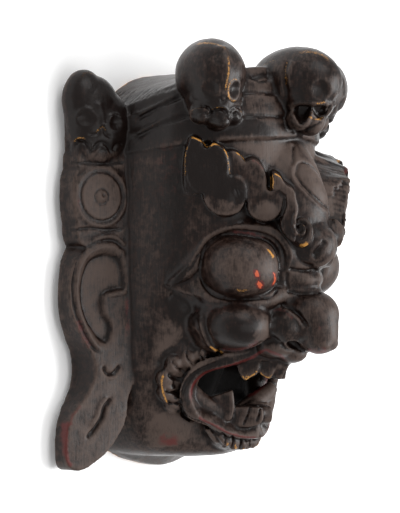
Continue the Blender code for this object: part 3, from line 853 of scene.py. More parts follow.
@dataclass
class Brow:
    """The brow: three stepped flames with wavy crests that end in a curl beside the nose.

    Attributes:
        outlines: The flames' outlines on the quarter board.
        left: How far out each left flame's face is, and how far it leans, in degrees.
        right: The same of the right flames, whose crests are scalloped.
        tie: The outline of what ties the right flames together behind.
        tie_place: How far out its face is, and how far it leans, in degrees.
        scallop: The length and the depth of the scallops.
        pivot: The place along the board where those faces are measured.
        depth: How deep the flames are.
        rounding: The radius of their edges.
        hook: The outline of the lowest right flame, which is fuller than the left one.
        bulbs: The round tips of the flames: middle on the board, and radii.
    """

    outlines: tuple[Path, ...] = (
        ((32.6, 105), (35.5, 106), (40, 104.5), (43, 102.5), (45, 98), (47.5, 96.5), (50, 98), (52.5, 101),
         (55.5, 100.5), (58.5, 98.5), (62.5, 96), (64.8, 91), (66.5, 85), (66.5, 79), (66, 74.5),
         (68.7, 72), (74, 72.5), (78.2, 70.5), (81, 65.5), (82, 59), (81.1, 51), (78.5, 45), (74.5, 40.3),
         (68.5, 38), (62, 37.7), (56.5, 38.5), (52.2, 41), (48, 45.5), (45, 51), (44, 57), (39, 56.5),
         (33.6, 56), (29, 58.5), (27.5, 63), (26.9, 72), (27.9, 84), (29.7, 96)),
        ((62, 90), (67, 94.5), (72, 94), (76, 91.5), (78.5, 87.5), (81, 85), (83.5, 87), (87.5, 87.5),
         (92, 85), (95.5, 81), (98, 76), (99.6, 70), (99.6, 63), (101.5, 59.8), (105, 59.5), (111, 58.5),
         (113.5, 54), (113.4, 46), (111, 39.5), (106, 34.8), (99.5, 32.8), (93, 33.8), (87.5, 36.8),
         (84, 42), (83, 49), (82.5, 56), (78, 64), (68, 70)),
        ((104.8, 62), (104.8, 68), (104.5, 74.8), (108, 74.5), (111.5, 72), (114, 68), (117.5, 64),
         (121.5, 62), (124.5, 57.5), (125, 52), (127, 46), (127, 40), (124.5, 34), (123.3, 28), (126, 22),
         (124, 14), (118, 18), (113, 25), (112, 33), (114.5, 41), (115.8, 48), (115.2, 55), (112, 59.5),
         (107, 60)),
    )
    left: tuple[Flat, ...] = ((140.5, 11.0), (138.5, 9.0), (141.0, 8.0))
    right: tuple[Flat, ...] = ((142.0, 18.0), (148.0, 19.0), (147.5, 5.0))
    tie: Path = ((60, 97), (78, 93), (92, 86), (104, 79), (114, 71), (121, 60), (124, 46), (124, 30),
                 (122, 16), (112, 20), (100, 32), (84, 45), (68, 60))
    tie_place: Flat = (144.0, 13.0)
    scallop: Flat = (4.6, 1.4)
    pivot: float = 55.0
    depth: float = 60.0
    rounding: float = 0.9
    hook: Path = ((104.8, 58), (104.8, 68), (104.5, 75), (108, 76.5), (113, 75), (119, 70), (124, 62),
                  (127, 52), (128, 40), (127.5, 28), (126, 16), (118, 12), (110, 16), (108, 30), (109, 45))
    bulbs: tuple[tuple[Point, Point], ...] = (
        ((63.5, 54.5, 131), (17.5, 16.5, 10.5)), ((98.5, 46.5, 129), (14.8, 13.8, 10.8)),
        ((131, 23, 121), (10.5, 12.5, 13)))

    def flames(self) -> list[Object]:
        """Add the flames of both sides."""
        forms = []
        for outline, (front, lean) in zip(self.outlines, self.left):
            forms.append(block(-1, outline, front, self.depth, self.rounding, lean, self.pivot))
        right = (*self.outlines[:-1], self.hook, self.tie)
        for outline, (front, lean) in zip(right, (*self.right, self.tie_place)):
            wavy = scalloped(outline, *self.scallop)
            forms.append(block(1, wavy, front, self.depth, self.rounding, lean, self.pivot))
        return forms

    def forms(self) -> list[Object]:
        """Add the round tips of the left brow."""
        return [ball(QUARTER.point(*middle), radii, Turn.QUARTER.value) for middle, radii in self.bulbs]

    def marks(self) -> list[Mark]:
        """Return the chisel marks of the brow."""
        return [
            Dimple(QUARTER, (74, 58), (2.2, 5.5), -1.0, 0.3, tilt=20),
            Stroke(QUARTER, ((115, 58), (116, 48), (113, 40), (110, 32)), 1.6, -1.6),
            Stroke(QUARTER, ((125, 42), (123.5, 34), (123, 28), (125, 23), (129, 21.5), (132.5, 24),
                             (132.5, 28), (130, 30), (127.5, 28)), 1.3, 2.2, fade=0.05),
            Stroke(QUARTER, ((126, 32), (130, 34.5), (135, 33), (138.5, 27), (138.5, 20), (136, 15),
                             (131, 12)), 1.3, 2.0, fade=0.05),
            Stroke(QUARTER, ((126, 29.5), (129, 32.5), (133.5, 31), (135.5, 25), (133, 19), (129, 18)),
                   1.2, -2.6),
            Stroke(QUARTER, ((30, 98), (28.5, 84), (29, 72), (33, 62), (41, 57)), 1.2, 0.7),
        ]


# ---------------------------------------------------------------- the nose
@dataclass
class Nose:
    """The hooked nose with its flared wings, its ringed bridge and the knot at its root.

    Attributes:
        lumps: Middles and radii of its round masses.
    """

    lumps: tuple[tuple[Point, Point], ...] = (
        ((0, 12, 174), (23, 22, 22)), ((0, -50, 171), (24, 24, 27)), ((0, -69, 180), (17, 16, 18)),
        ((-20, -58, 158), (17, 18, 17)), ((0, -18, 157), (24, 10, 24)), ((-11, -78, 143), (24, 11, 20)),
        ((0, -84, 152), (14, 10, 14)), ((0, -60, 176), (20, 20, 22)), ((0, -36, 158), (22, 14, 20)),
        ((-32.7, -57, 147.5), (11, 13, 12)))

    def masses(self) -> list[Object]:
        """Add the nose."""
        return [ball(*lump) for lump in self.lumps]

    def marks(self) -> list[Mark]:
        """Return the chisel marks of the nose."""
        return [
            Stroke(QUARTER, ((113, -40), (119, -41.5), (126, -46), (132, -53), (137, -61)), 1.7, -3.0),
            Stroke(QUARTER, ((108, -44), (115, -44), (122, -48), (128, -54), (133, -62)), 1.6, 1.0),
            Stroke(QUARTER, ((106, -46), (104, -54), (103.5, -62), (106, -69), (112, -74)), 1.8, -1.2),
            Dimple(QUARTER, (152, -77), (6.5, 5.5), 1.8),
            Dimple(QUARTER, (124.5, -76), (7.5, 4.2), -7.0, 0.8, tilt=-12),
            Stroke(QUARTER, ((112, -74), (120, -80), (130, -80), (137, -84)), 1.8, -2.0),
            Stroke(QUARTER, ((119, -11), (118, -19), (120, -27)), 1.6, -1.6),
            Stroke(QUARTER, ((118, -28), (128, -30), (140, -30), (150, -29)), 1.6, -2.0),
            Stroke(QUARTER, ((120, -8.5), (134, -10.5), (146, -9)), 1.5, -2.0),
            Stroke(QUARTER, ((146, -11), (147.5, -18), (146, -26)), 1.6, 1.4),
            Stroke(QUARTER, ((153, 17), (149, 12), (145, 8), (143, 4), (146, 0.5)), 2.4, -2.8),
            Stroke(QUARTER, ((159, 26), (162, 14), (158, 3), (150, -4), (140, -6)), 1.6, 1.8),
            Stroke(QUARTER, ((126, 10), (128, 2), (134, -4), (143, -6)), 1.5, -1.2),
        ]


# ---------------------------------------------------------------- the mouth
@dataclass
class Mouth:
    """The open mouth: lips on a crest, teeth, curled moustache and beard.

    Attributes:
        outer: The lips' outer edge from the middle of the upper lip to the middle of the lower one.
        crest: Their crest.
        inner: Their inner edge.
        core: The point that the lips thicken towards.
        depth: How thick they are.
        rise: How far the crest stands up.
        teeth: The teeth's outlines on the quarter board, and how far out their faces are.
        fang: The outline of the lower fangs on the quarter board.
        fangs: On which side each fang stands, how far out its face is, and how much higher it stands.
        front_tooth: The small tooth in the middle: its middle and radii.
        tooth_depth: How deep the teeth are.
        tooth_edge: The radius of their edges.
        fang_edge: The radius of the lower fangs' edges.
        partings: The lines between the small lower teeth.
        far_lip: A swelling of the right lip.
        far_lip_radii: Its radius from its lower end to its upper one.
        far_wall: Its inner side.
        far_wall_radii: The same of that side.
        gum: The middle line of the lower gum.
        gum_radii: Its radius from the corner of the mouth to the middle.
        beard: Strands of the beard: top, tip, radius.
        beard_mass: What the strands lie on: middle and radii.
        curls: Curled scales of the moustache: middle, radius.
        scale_lines: The lines between the scales.
        strand_lines: The lines along the beard's strands.
        cheek: The round cheek: middle and radii.
    """

    outer: tuple[Point, ...] = ((0, -85, 165), (-28.6, -72, 141), (-51.3, -84, 112.3), (-62.7, -90, 95),
                                (-70.4, -106, 82.2), (-72.4, -123, 79.2), (-64.4, -142, 83.2),
                                (-49.7, -150, 94), (-33.3, -160, 99.3), (-18, -164, 106), (0, -164, 114))
    crest: tuple[Point, ...] = ((0, -93, 148), (-19.6, -82, 133), (-37.3, -94, 111.3), (-52.6, -100, 92.6),
                                (-59.2, -110, 84.7), (-60.2, -123, 82.7), (-53.4, -142, 88.2),
                                (-44.7, -147, 94), (-29.3, -156, 102.3), (-14, -160.5, 109), (0, -162, 115))
    inner: tuple[Point, ...] = ((0, -97, 145), (-18.6, -91, 131), (-33.3, -95, 113.3), (-47.6, -102, 92.6),
                                (-51.2, -112, 83.7), (-50.2, -123, 82.7), (-46.4, -128, 85.2),
                                (-38.7, -133, 92), (-23.3, -144, 100.3), (-11, -149, 108), (0, -147, 117))
    core: Point = (0, -116, 55)
    depth: float = 17.0
    rise: float = 6.0
    teeth: tuple[tuple[Path, float], ...] = (
        (((75.5, -94), (76, -99), (77.5, -104), (80, -107.8), (82.5, -108.8), (87, -106), (92, -103),
          (94, -99), (96, -92), (97, -86), (84, -86)), 91),
        (((95.6, -98), (95, -102), (99, -105), (104, -107.6), (106.5, -105), (109, -100), (111.5, -94),
          (112.5, -88), (98.5, -86)), 88.5),
        (((112.6, -96), (108.5, -104.5), (111.5, -107.6), (114.5, -108.2), (118, -102), (122, -95.5),
          (121, -88), (115, -86)), 85),
        (((72.5, -134.5), (78, -133.5), (86, -133.5), (92, -134), (96.5, -134.5), (98.5, -138), (98.5, -144),
          (95, -149), (84, -152), (70, -150), (69.5, -144)), 79))
    fang: Path = ((47.7, -126), (55, -123), (62.5, -120.5), (68.5, -118.5), (70.8, -119), (72, -125),
                  (72.3, -135), (69, -145), (60, -143), (52, -134))
    fangs: tuple[tuple[int, float, float], ...] = ((-1, 84, 0), (1, 86, -14))
    front_tooth: tuple[Point, Point] = ((0, -140, 112), (7, 7, 10))
    tooth_depth: float = 12.0
    tooth_edge: float = 1.0
    fang_edge: float = 1.2
    partings: tuple[Path, ...] = (
        ((86.5, -133), (85, -140), (80.5, -150)), ((96, -133), (95, -140), (92.5, -147)))
    far_lip: tuple[Point, ...] = ((20, -155, 101), (34, -147, 98), (46, -137, 95), (54, -127, 93),
                                  (57, -116, 94), (56, -105, 98))
    far_lip_radii: tuple[float, ...] = (5, 7, 7, 6, 5, 4.5)
    far_wall: tuple[Point, ...] = ((8, -145, 84), (24, -139, 86), (38, -131.5, 90), (48, -125, 94),
                                   (53, -118, 97))
    far_wall_radii: tuple[float, ...] = (9, 10, 9.5, 8, 5)
    gum: tuple[Point, ...] = ((-52, -116, 74), (-46, -126, 80), (-36, -134, 87), (-20, -141, 96),
                              (4, -143, 102))
    gum_radii: tuple[float, ...] = (8, 9, 9)
    beard: tuple[tuple[Point, Point, float], ...] = (
        ((-40, -151, 88), (-31, -165, 93), 4.5), ((-33, -155, 93), (-24, -169, 97), 6),
        ((-22, -159, 98), (-15, -172, 100), 6), ((-11, -161, 102), (-7, -173, 102), 6),
        ((0, -162, 104), (0, -173, 101), 6))
    beard_mass: tuple[Point, Point] = ((0, -162, 90), (33, 13, 16))
    curls: tuple[tuple[Point, float], ...] = (
        ((-56, -81, 91), 9), ((-64, -87, 82), 10), ((-76, -92, 74), 11), ((-79, -105, 68), 10),
        ((-76, -117, 67), 10), ((-68, -128, 69), 10))
    scale_lines: tuple[Path, ...] = (
        ((59, -86), (56, -79)), ((46, -90), (41, -86), (41, -79)), ((37, -95), (31, -89), (30, -81)),
        ((28, -101), (21, -96), (17, -89)), ((26, -107), (19, -106), (13, -101)),
        ((24, -118), (17, -118), (10, -115)), ((24, -128), (17, -128), (11, -127)))
    strand_lines: tuple[Path, ...] = (
        ((60, -156), (65, -161), (64, -168)), ((70, -159), (72, -164), (70, -172)),
        ((79, -163), (79, -168), (77, -176)), ((87, -164), (87.5, -169), (85.5, -177)),
        ((94, -164), (94.5, -169), (92, -175)))
    cheek: tuple[Point, Point] = ((-52, -58, 127), (31, 22.5, 31))

    def masses(self) -> list[Object]:
        """Add the left cheek."""
        return [ball(*self.cheek)]

    def forms(self) -> list[Object]:
        """Add the lips, the moustache and the beard of the left half."""
        forms = [self.lips()]
        forms += [tube((top, tip), (radius, radius, radius * 0.6)) for top, tip, radius in self.beard]
        forms += [ball(middle, (radius, radius, 8)) for middle, radius in self.curls]
        forms.append(ball(*self.beard_mass))
        return forms

    def lips(self) -> Object:
        """Add the lips: two slopes that meet on a crest."""
        rise = np.array(QUARTER.point(0, 0, 1)) * self.rise
        core = np.array(self.core, float)
        rings = []
        for a, b, c in zip(*(smooth_path(points) for points in (self.outer, self.crest, self.inner))):
            deeper = [point + (core - point) / np.linalg.norm(core - point) * self.depth for point in (c, a)]
            rings.append([a, b + rise, c, *deeper])
        for end in (0, -1):
            rings[end] = [point + np.array((2, 0, 0)) for point in rings[end]]
        return loft(rings)

    def dentures(self) -> Object:
        """Add the teeth, the gum and what the right lip has more."""
        teeth = [block(-1, outline, front, self.tooth_depth, self.tooth_edge)
                 for outline, front in self.teeth]
        jaws = mirrored([tube(self.gum, self.gum_radii), *teeth])
        singles = [ball(*self.front_tooth), tube(self.far_lip, self.far_lip_radii),
                   tube(self.far_wall, self.far_wall_radii)]
        for side, front, higher in self.fangs:
            outline = tuple((across, along + higher) for across, along in self.fang)
            singles.append(block(side, outline, front, self.tooth_depth, self.fang_edge))
        return join([jaws, *singles])

    def opening(self) -> Object:
        """Add the cutter that opens the mouth through to the hollow."""
        left = [(x, y) for x, y, _ in self.inner]
        right = [(-x, y) for x, y in reversed(left[1:-1])]
        return slab(tuple(left + right), 190, Matrix.Translation((0, 0, 115 * MM)))

    def marks(self) -> list[Mark]:
        """Return the chisel marks round the mouth."""
        marks: list[Mark] = [Stroke(QUARTER, path, 1.4, -2.6, fade=0.2) for path in self.scale_lines]
        marks += [Stroke(TEETH, path, 0.9, -1.8, fade=0.1) for path in self.partings]
        marks += [Stroke(MOUTH, path, 1.1, -2.4, fade=0.15) for path in self.strand_lines]
        marks += [
            Stroke(QUARTER, ((66, -88), (57, -92), (47, -96), (36, -102), (28, -111), (24, -121), (25, -131),
                             (30, -142), (40, -146), (48, -150)), 1.4, -2.0),
            Stroke(MOUTH, ((45, -148.5), (56, -156), (64.5, -161), (78, -164.5), (94, -164.5)), 1.3, -2.0),
            Stroke(QUARTER, ((42, -48), (42.5, -57), (45, -66), (49, -74), (55, -79)), 1.5, 2.0),
            Stroke(QUARTER, ((46, -50), (46.5, -58), (49, -66), (53, -73)), 1.8, -1.2),
            Stroke(QUARTER, ((56, -80), (67, -82), (78, -82), (90, -78), (98, -72)), 1.8, -2.4),
            Stroke(MOUTH, ((51, -153), (56, -161), (61, -168), (69, -174)), 1.6, -1.6),
        ]
        return marks


# ---------------------------------------------------------------- the crown
@dataclass
class Skull:
    """One skull of the crown.

    Attributes:
        centre: The middle of its cranium.
        turn: Its turn about Y, in degrees.
        reach: How much further back the cranium goes.
        gaping: Whether it is the middle one, whose jaw stands open at the side.
        face: How far its face lies from its middle.
        chin: How far its jaw stands back.
        gaps: The outlines of the gaping jaw's openings on the left board.
    """

    centre: Point
    turn: float = 0.0
    reach: float = 0.0
    gaping: bool = False
    face: float = 0.0
    chin: float = 0.0
    gaps: tuple[Path, Path] = (((125, 134), (138, 135), (139, 129), (132, 119), (127, 124)),
                               ((142, 134), (153, 135), (154, 129), (148, 125), (142, 129)))

    def board(self) -> Board:
        """Return the board in front of the skull's face."""
        return Board(self.centre, self.turn, floor=2.0, roof=48.0, facing=0.1, both=False)

    def forms(self) -> list[Object]:
        """Add the skull's masses."""
        board, back = self.board(), self.chin
        forms = [
            ball(board.point(0, 8, -self.reach), (30, 32, 35 + self.reach), self.turn),
            ball(board.point(0, -10 + back / 2, 6 - back / 2), (25, 26, 26), self.turn),
            ball(board.point(0, -27, 13 - back), (13, 14, 15), self.turn),
            ball(board.point(0, -34, 20 - back * 1.5), (8, 6.5, 9), self.turn),
        ]
        forms += [ball(board.point(side * 15, -27, 11 - back), (10, 10, 12), self.turn) for side in (-1, 1)]
        return forms

    def sockets(self) -> list[Mark]:
        """Return the deep marks: the eye sockets, and the gaping jaw of the middle skull."""
        if self.gaping:
            return [
                Dimple(QUARTER, (148, 150), (8.7, 8.7), -3.4, 0.5),
                Region(LEFT, self.gaps[0], -9.0, 2.0),
                Region(LEFT, self.gaps[1], -6.0, 2.0),
            ]
        board = self.board()
        return [
            Dimple(board, (self.face + 10.5, -7.5), (6.3, 8.5), -2.8, 0.9, tilt=-20),
            Dimple(board, (self.face - 10.5, -6), (6.0, 7.5), -1.8, 0.6, tilt=20),
            Stroke(board, ((self.face + 1, 32), (self.face + 2, 12), (self.face, -14)), 5.0, 2.0),
        ]

    def marks(self) -> list[Mark]:
        """Return the fine marks: nose, cheekbones, teeth and outline."""
        if self.gaping:
            return [
                Stroke(QUARTER, ((121, 137), (130, 138.5), (140, 138), (148, 138), (154, 140)), 1.4, 1.6),
                Stroke(LEFT, ((140, 134), (140, 127), (136, 121)), 1.2, 1.2),
                Stroke(LEFT, ((134, 114), (141, 117), (150, 122)), 1.2, -1.4),
                Stroke(QUARTER, ((124, 176), (121, 168), (120, 159), (122, 150)), 2.2, 1.4),
                Stroke(QUARTER, ((120, 176), (117, 168), (116, 159), (118, 148), (118, 136)), 2.6, -1.4),
                Stroke(QUARTER, ((168, 161), (163, 148), (158, 136)), 1.8, 1.4),
                Stroke(QUARTER, ((86, 162), (94, 158), (104, 159)), 2.0, -2.0),
                Dimple(MIDDLE, (0, 133), (4, 5), -3.0, 0.6),
            ]
        board, face = self.board(), self.face
        marks: list[Mark] = [
            Stroke(board, ((face - 3.5, -15), (face, -18.5), (face + 3.5, -15)), 1.1, -1.4),
            Stroke(board, arc((face - 2, -34), (9.5, 9.5), 15, 165), 1.2, -1.8),
            Stroke(board, arc((face - 2, -34), (11.8, 12), 15, 165), 1.2, 1.0),
            Stroke(board, ((face - 7, -33), (face - 2, -34.5), (face + 3, -33)), 1.0, -0.9),
        ]
        for side in (-1, 1):
            marks += [
                Stroke(board, arc((face + side * 17, -30), (9.5, 8.5), 5, 175), 1.2, -1.5),
                Stroke(board, arc((face + side * 17, -30), (7.2, 6.2), 5, 175), 1.2, 0.9),
                Stroke(board, arc((face + side * 16, -31), (4.5, 4), -10, 190), 1.0, -1.2),
                Stroke(board, ((face + side * 3, -14), (face + side * 10, -18.5), (face + side * 19, -17),
                               (face + side * 26, -10)), 1.5, -0.9),
            ]
        return marks


# ---------------------------------------------------------------- the ear wings
@dataclass
class Wing:
    """A flat ear wing: a long-lobed ear, a disc above it and a skull on top.

    Attributes:
        ear: The ear's outline on its board, with its lobe.
        disc: The disc's middle and radius.
        skull: The skull's outline.
        domes: The skull's round masses: middle on the board, and radii.
        plinth: The outline of the block that the disc stands on.
        lift: How fast the wing's back rises off the ground on its way out.
        lobe_trim: How much shorter the right lobe is, and where that lobe starts.
        necks: What joins the disc to the skull and to the ear.
        concha: The outline of the ear's inner hollow.
    """

    ear: Path = ((-12, 26), (11, 23), (24, 20), (34, 17), (48, 6), (56, -8), (59, -25), (58, -44),
                 (50, -64), (39, -80), (34, -91), (34, -104), (42, -119), (54, -132), (61, -144),
                 (64, -162), (63, -176), (56, -184), (44, -184), (29, -176), (19, -168), (10, -158),
                 (2, -143), (-1, -125), (-6, -110), (-12, -90))
    disc: tuple[Flat, float] = ((28, 55), 27.5)
    skull: Path = ((-12, 84), (11, 85), (29, 84), (44, 86), (46, 104), (47, 118), (47, 134), (44, 146),
                   (37, 153), (28, 152), (18, 147), (8, 140), (0, 131), (-12, 118))
    domes: tuple[tuple[Point, Point], ...] = (
        ((24, 118, -12), (31, 36, 20)), ((30, 128, -11), (27, 35, 18)),
        ((38.5, 140, -12), (20.5, 27.5, 16)), ((30, 98, -9), (23, 17, 13)))
    plinth: Path = ((-12, 82), (20, 84), (40, 83.5), (51, 78), (55.5, 66), (56, 54), (54.5, 42), (50, 31),
                   (38, 26), (20, 26), (-12, 28))
    lift: float = 0.14
    lobe_trim: tuple[float, Flat] = (0.84, (108, -100))
    necks: tuple[Path, ...] = (((-12, 76), (20, 78), (46, 76), (50, 86), (44, 96), (14, 96), (-12, 96)),
                               ((-12, 12), (20, 12), (44, 12), (51, 24), (46, 38), (20, 40), (-12, 38)))
    concha: Path = ((3.5, -13), (9, 1), (24, 5), (38, 0), (46, -12), (49, -30), (46, -47), (39, -61),
                    (30, -71), (22, -73), (18, -66), (18, -57), (25, -47), (26.5, -37), (21, -29.5),
                    (8, -27), (3.5, -24.5))

    def piece(self, outline: Path, extra: float = 0.0) -> Object:
        """Add a part of the wing, flat behind and sloping in front.

        Args:
            outline: Its outline on the board.
            extra: How far its face stands over the wing's face.

        Returns:
            The new object.
        """
        root, _, level = WING.origin
        slope = math.tan(math.radians(-WING.turn))
        flat = tuple(WING.point(across, along)[:2] for across, along in outline)
        depth = 2 * (SKIN + 30)
        obj = slab(flat, depth, Matrix.Translation((0, 0, (depth / 2 - SKIN) * MM)))
        for vertex in obj.data.vertices:
            beyond = -root - abs(vertex.co.x / MM)
            face = level + beyond * slope + extra
            back = max(-beyond * self.lift, -SKIN)
            vertex.co.z = (face if vertex.co.z > 0 else back) * MM
        return obj

    def forms(self) -> list[Object]:
        """Add the left wing."""
        centre, radius = self.disc
        return [
            self.piece(self.ear),
            self.piece(self.plinth, -1.0),
            self.piece(ring(centre, radius, 24)),
            self.piece(ring(centre, radius - 7, 24), 1.3),
            self.piece(self.skull, -1.5),
            *(self.piece(neck, -1.8) for neck in self.necks),
            ball(WING.point(*centre, 0), (5, 5, 3.2), WING.turn),
            *(ball(WING.point(*middle), radii, WING.turn) for middle, radii in self.domes),
        ]

    def hollows(self) -> list[Mark]:
        """Return the deep marks of the wing."""
        return [
            Region(WING, self.concha, -4.6, 4.5),
            Dimple(QUARTER, (-57.8, 123), (8.7, 7), -2.6, 0.7),
            Dimple(QUARTER, (-32.6, 120), (5.5, 6.5), -2.2, 0.6),
        ]

    def marks(self) -> list[Mark]:
        """Return the fine marks of the wing."""
        centre, radius = self.disc
        return [
            Stroke(WING, ((2, 7), (15, 16), (30, 15.5), (45, 9), (53, -2), (57, -17), (57, -33), (53, -49),
                          (44, -67), (36, -78), (29, -82)), 1.7, -1.8),
            Stroke(WING, ((2, 1), (14, 10), (28, 10.5), (41, 5), (49.5, -6), (53, -20), (53, -34), (49, -50),
                          (41, -66), (33, -76), (25, -79)), 2.6, 1.8),
            Stroke(WING, ((3, 12), (14, 19.5), (28, 19.5)), 1.4, 1.0),
            Stroke(WING, ((26, -94), (21, -101.5), (14, -100.5), (8.5, -94)), 1.6, -2.6),
            Stroke(WING, ((23, -97), (19, -104.5), (12, -103.5)), 1.3, 1.0),
            Stroke(WING, ((17, -123), (24, -130), (27, -139), (34, -149), (43, -157)), 2.0, -3.4),
            Stroke(WING, ((21, -122), (29, -130), (32, -139), (39, -147)), 2.4, 1.4),
            Stroke(WING, ((1.5, -29), (12, -31), (21, -32)), 1.6, 1.2),
            Stroke(WING, ring(centre, radius - 6.5, 20), 1.2, -0.8, closed=True),
            Stroke(WING, ring(centre, radius - 2.0, 20), 1.2, 0.6, closed=True),
            Stroke(WING, ring(centre, 7, 12), 1.0, -0.6, closed=True),
            Dimple(WING, (centre[0] - 1.5, centre[1] + 1), (3, 3), -1.8),
            Stroke(WING, ((60, 84.5), (40, 84), (20, 84), (2, 86)), 1.4, -1.2),
            Stroke(WING, ((58, 25), (40, 27), (20, 26), (4, 27)), 1.4, -1.2),
            Stroke(QUARTER, ((-47, 138), (-44.5, 126), (-43.5, 117)), 2.4, 1.1),
            Stroke(QUARTER, ((-56.9, 108.8), (-48.5, 109.7), (-43.5, 115.6), (-41, 109.7), (-36, 107.1)),
                   1.2, -1.8),
            Stroke(QUARTER, ((-67.5, 123), (-60, 131.5), (-51, 130)), 1.3, 1.0),
            Stroke(QUARTER, ((-39, 125), (-33, 128), (-27, 124)), 1.2, 0.8),
            Stroke(QUARTER, ((-68, 98), (-65.3, 103.8), (-59.5, 102.9), (-56, 98.5), (-54.4, 93)),
                   1.3, -1.8),
            Stroke(QUARTER, ((-70, 101), (-66, 106.3), (-58.5, 105.4), (-53.5, 100), (-52, 94)), 1.1, 1.0),
            Stroke(QUARTER, ((-54, 93), (-48.5, 100.5), (-43.5, 102.1), (-39.3, 98.8), (-36.8, 93)),
                   1.3, -1.8),
            Stroke(QUARTER, ((-51, 92), (-47.5, 97.5), (-43.5, 99), (-40.5, 96.5), (-39, 92)), 1.1, 0.9),
            Stroke(QUARTER, ((-35, 95), (-33.5, 99.5), (-30.1, 102.1), (-27, 101)), 1.2, -1.5),
        ]

    def trim_lobe(self, clay: Clay) -> None:
        """Shorten the right lobe."""
        share, (beside, below) = self.lobe_trim
        x, y = clay.places[:, 0], clay.places[:, 1]
        lobe = (x > beside) & (y < below)
        y[lobe] = below + (y[lobe] - below) * share


# ---------------------------------------------------------------- colour worked into the points
Tint = tuple[Board, Path, float, float]


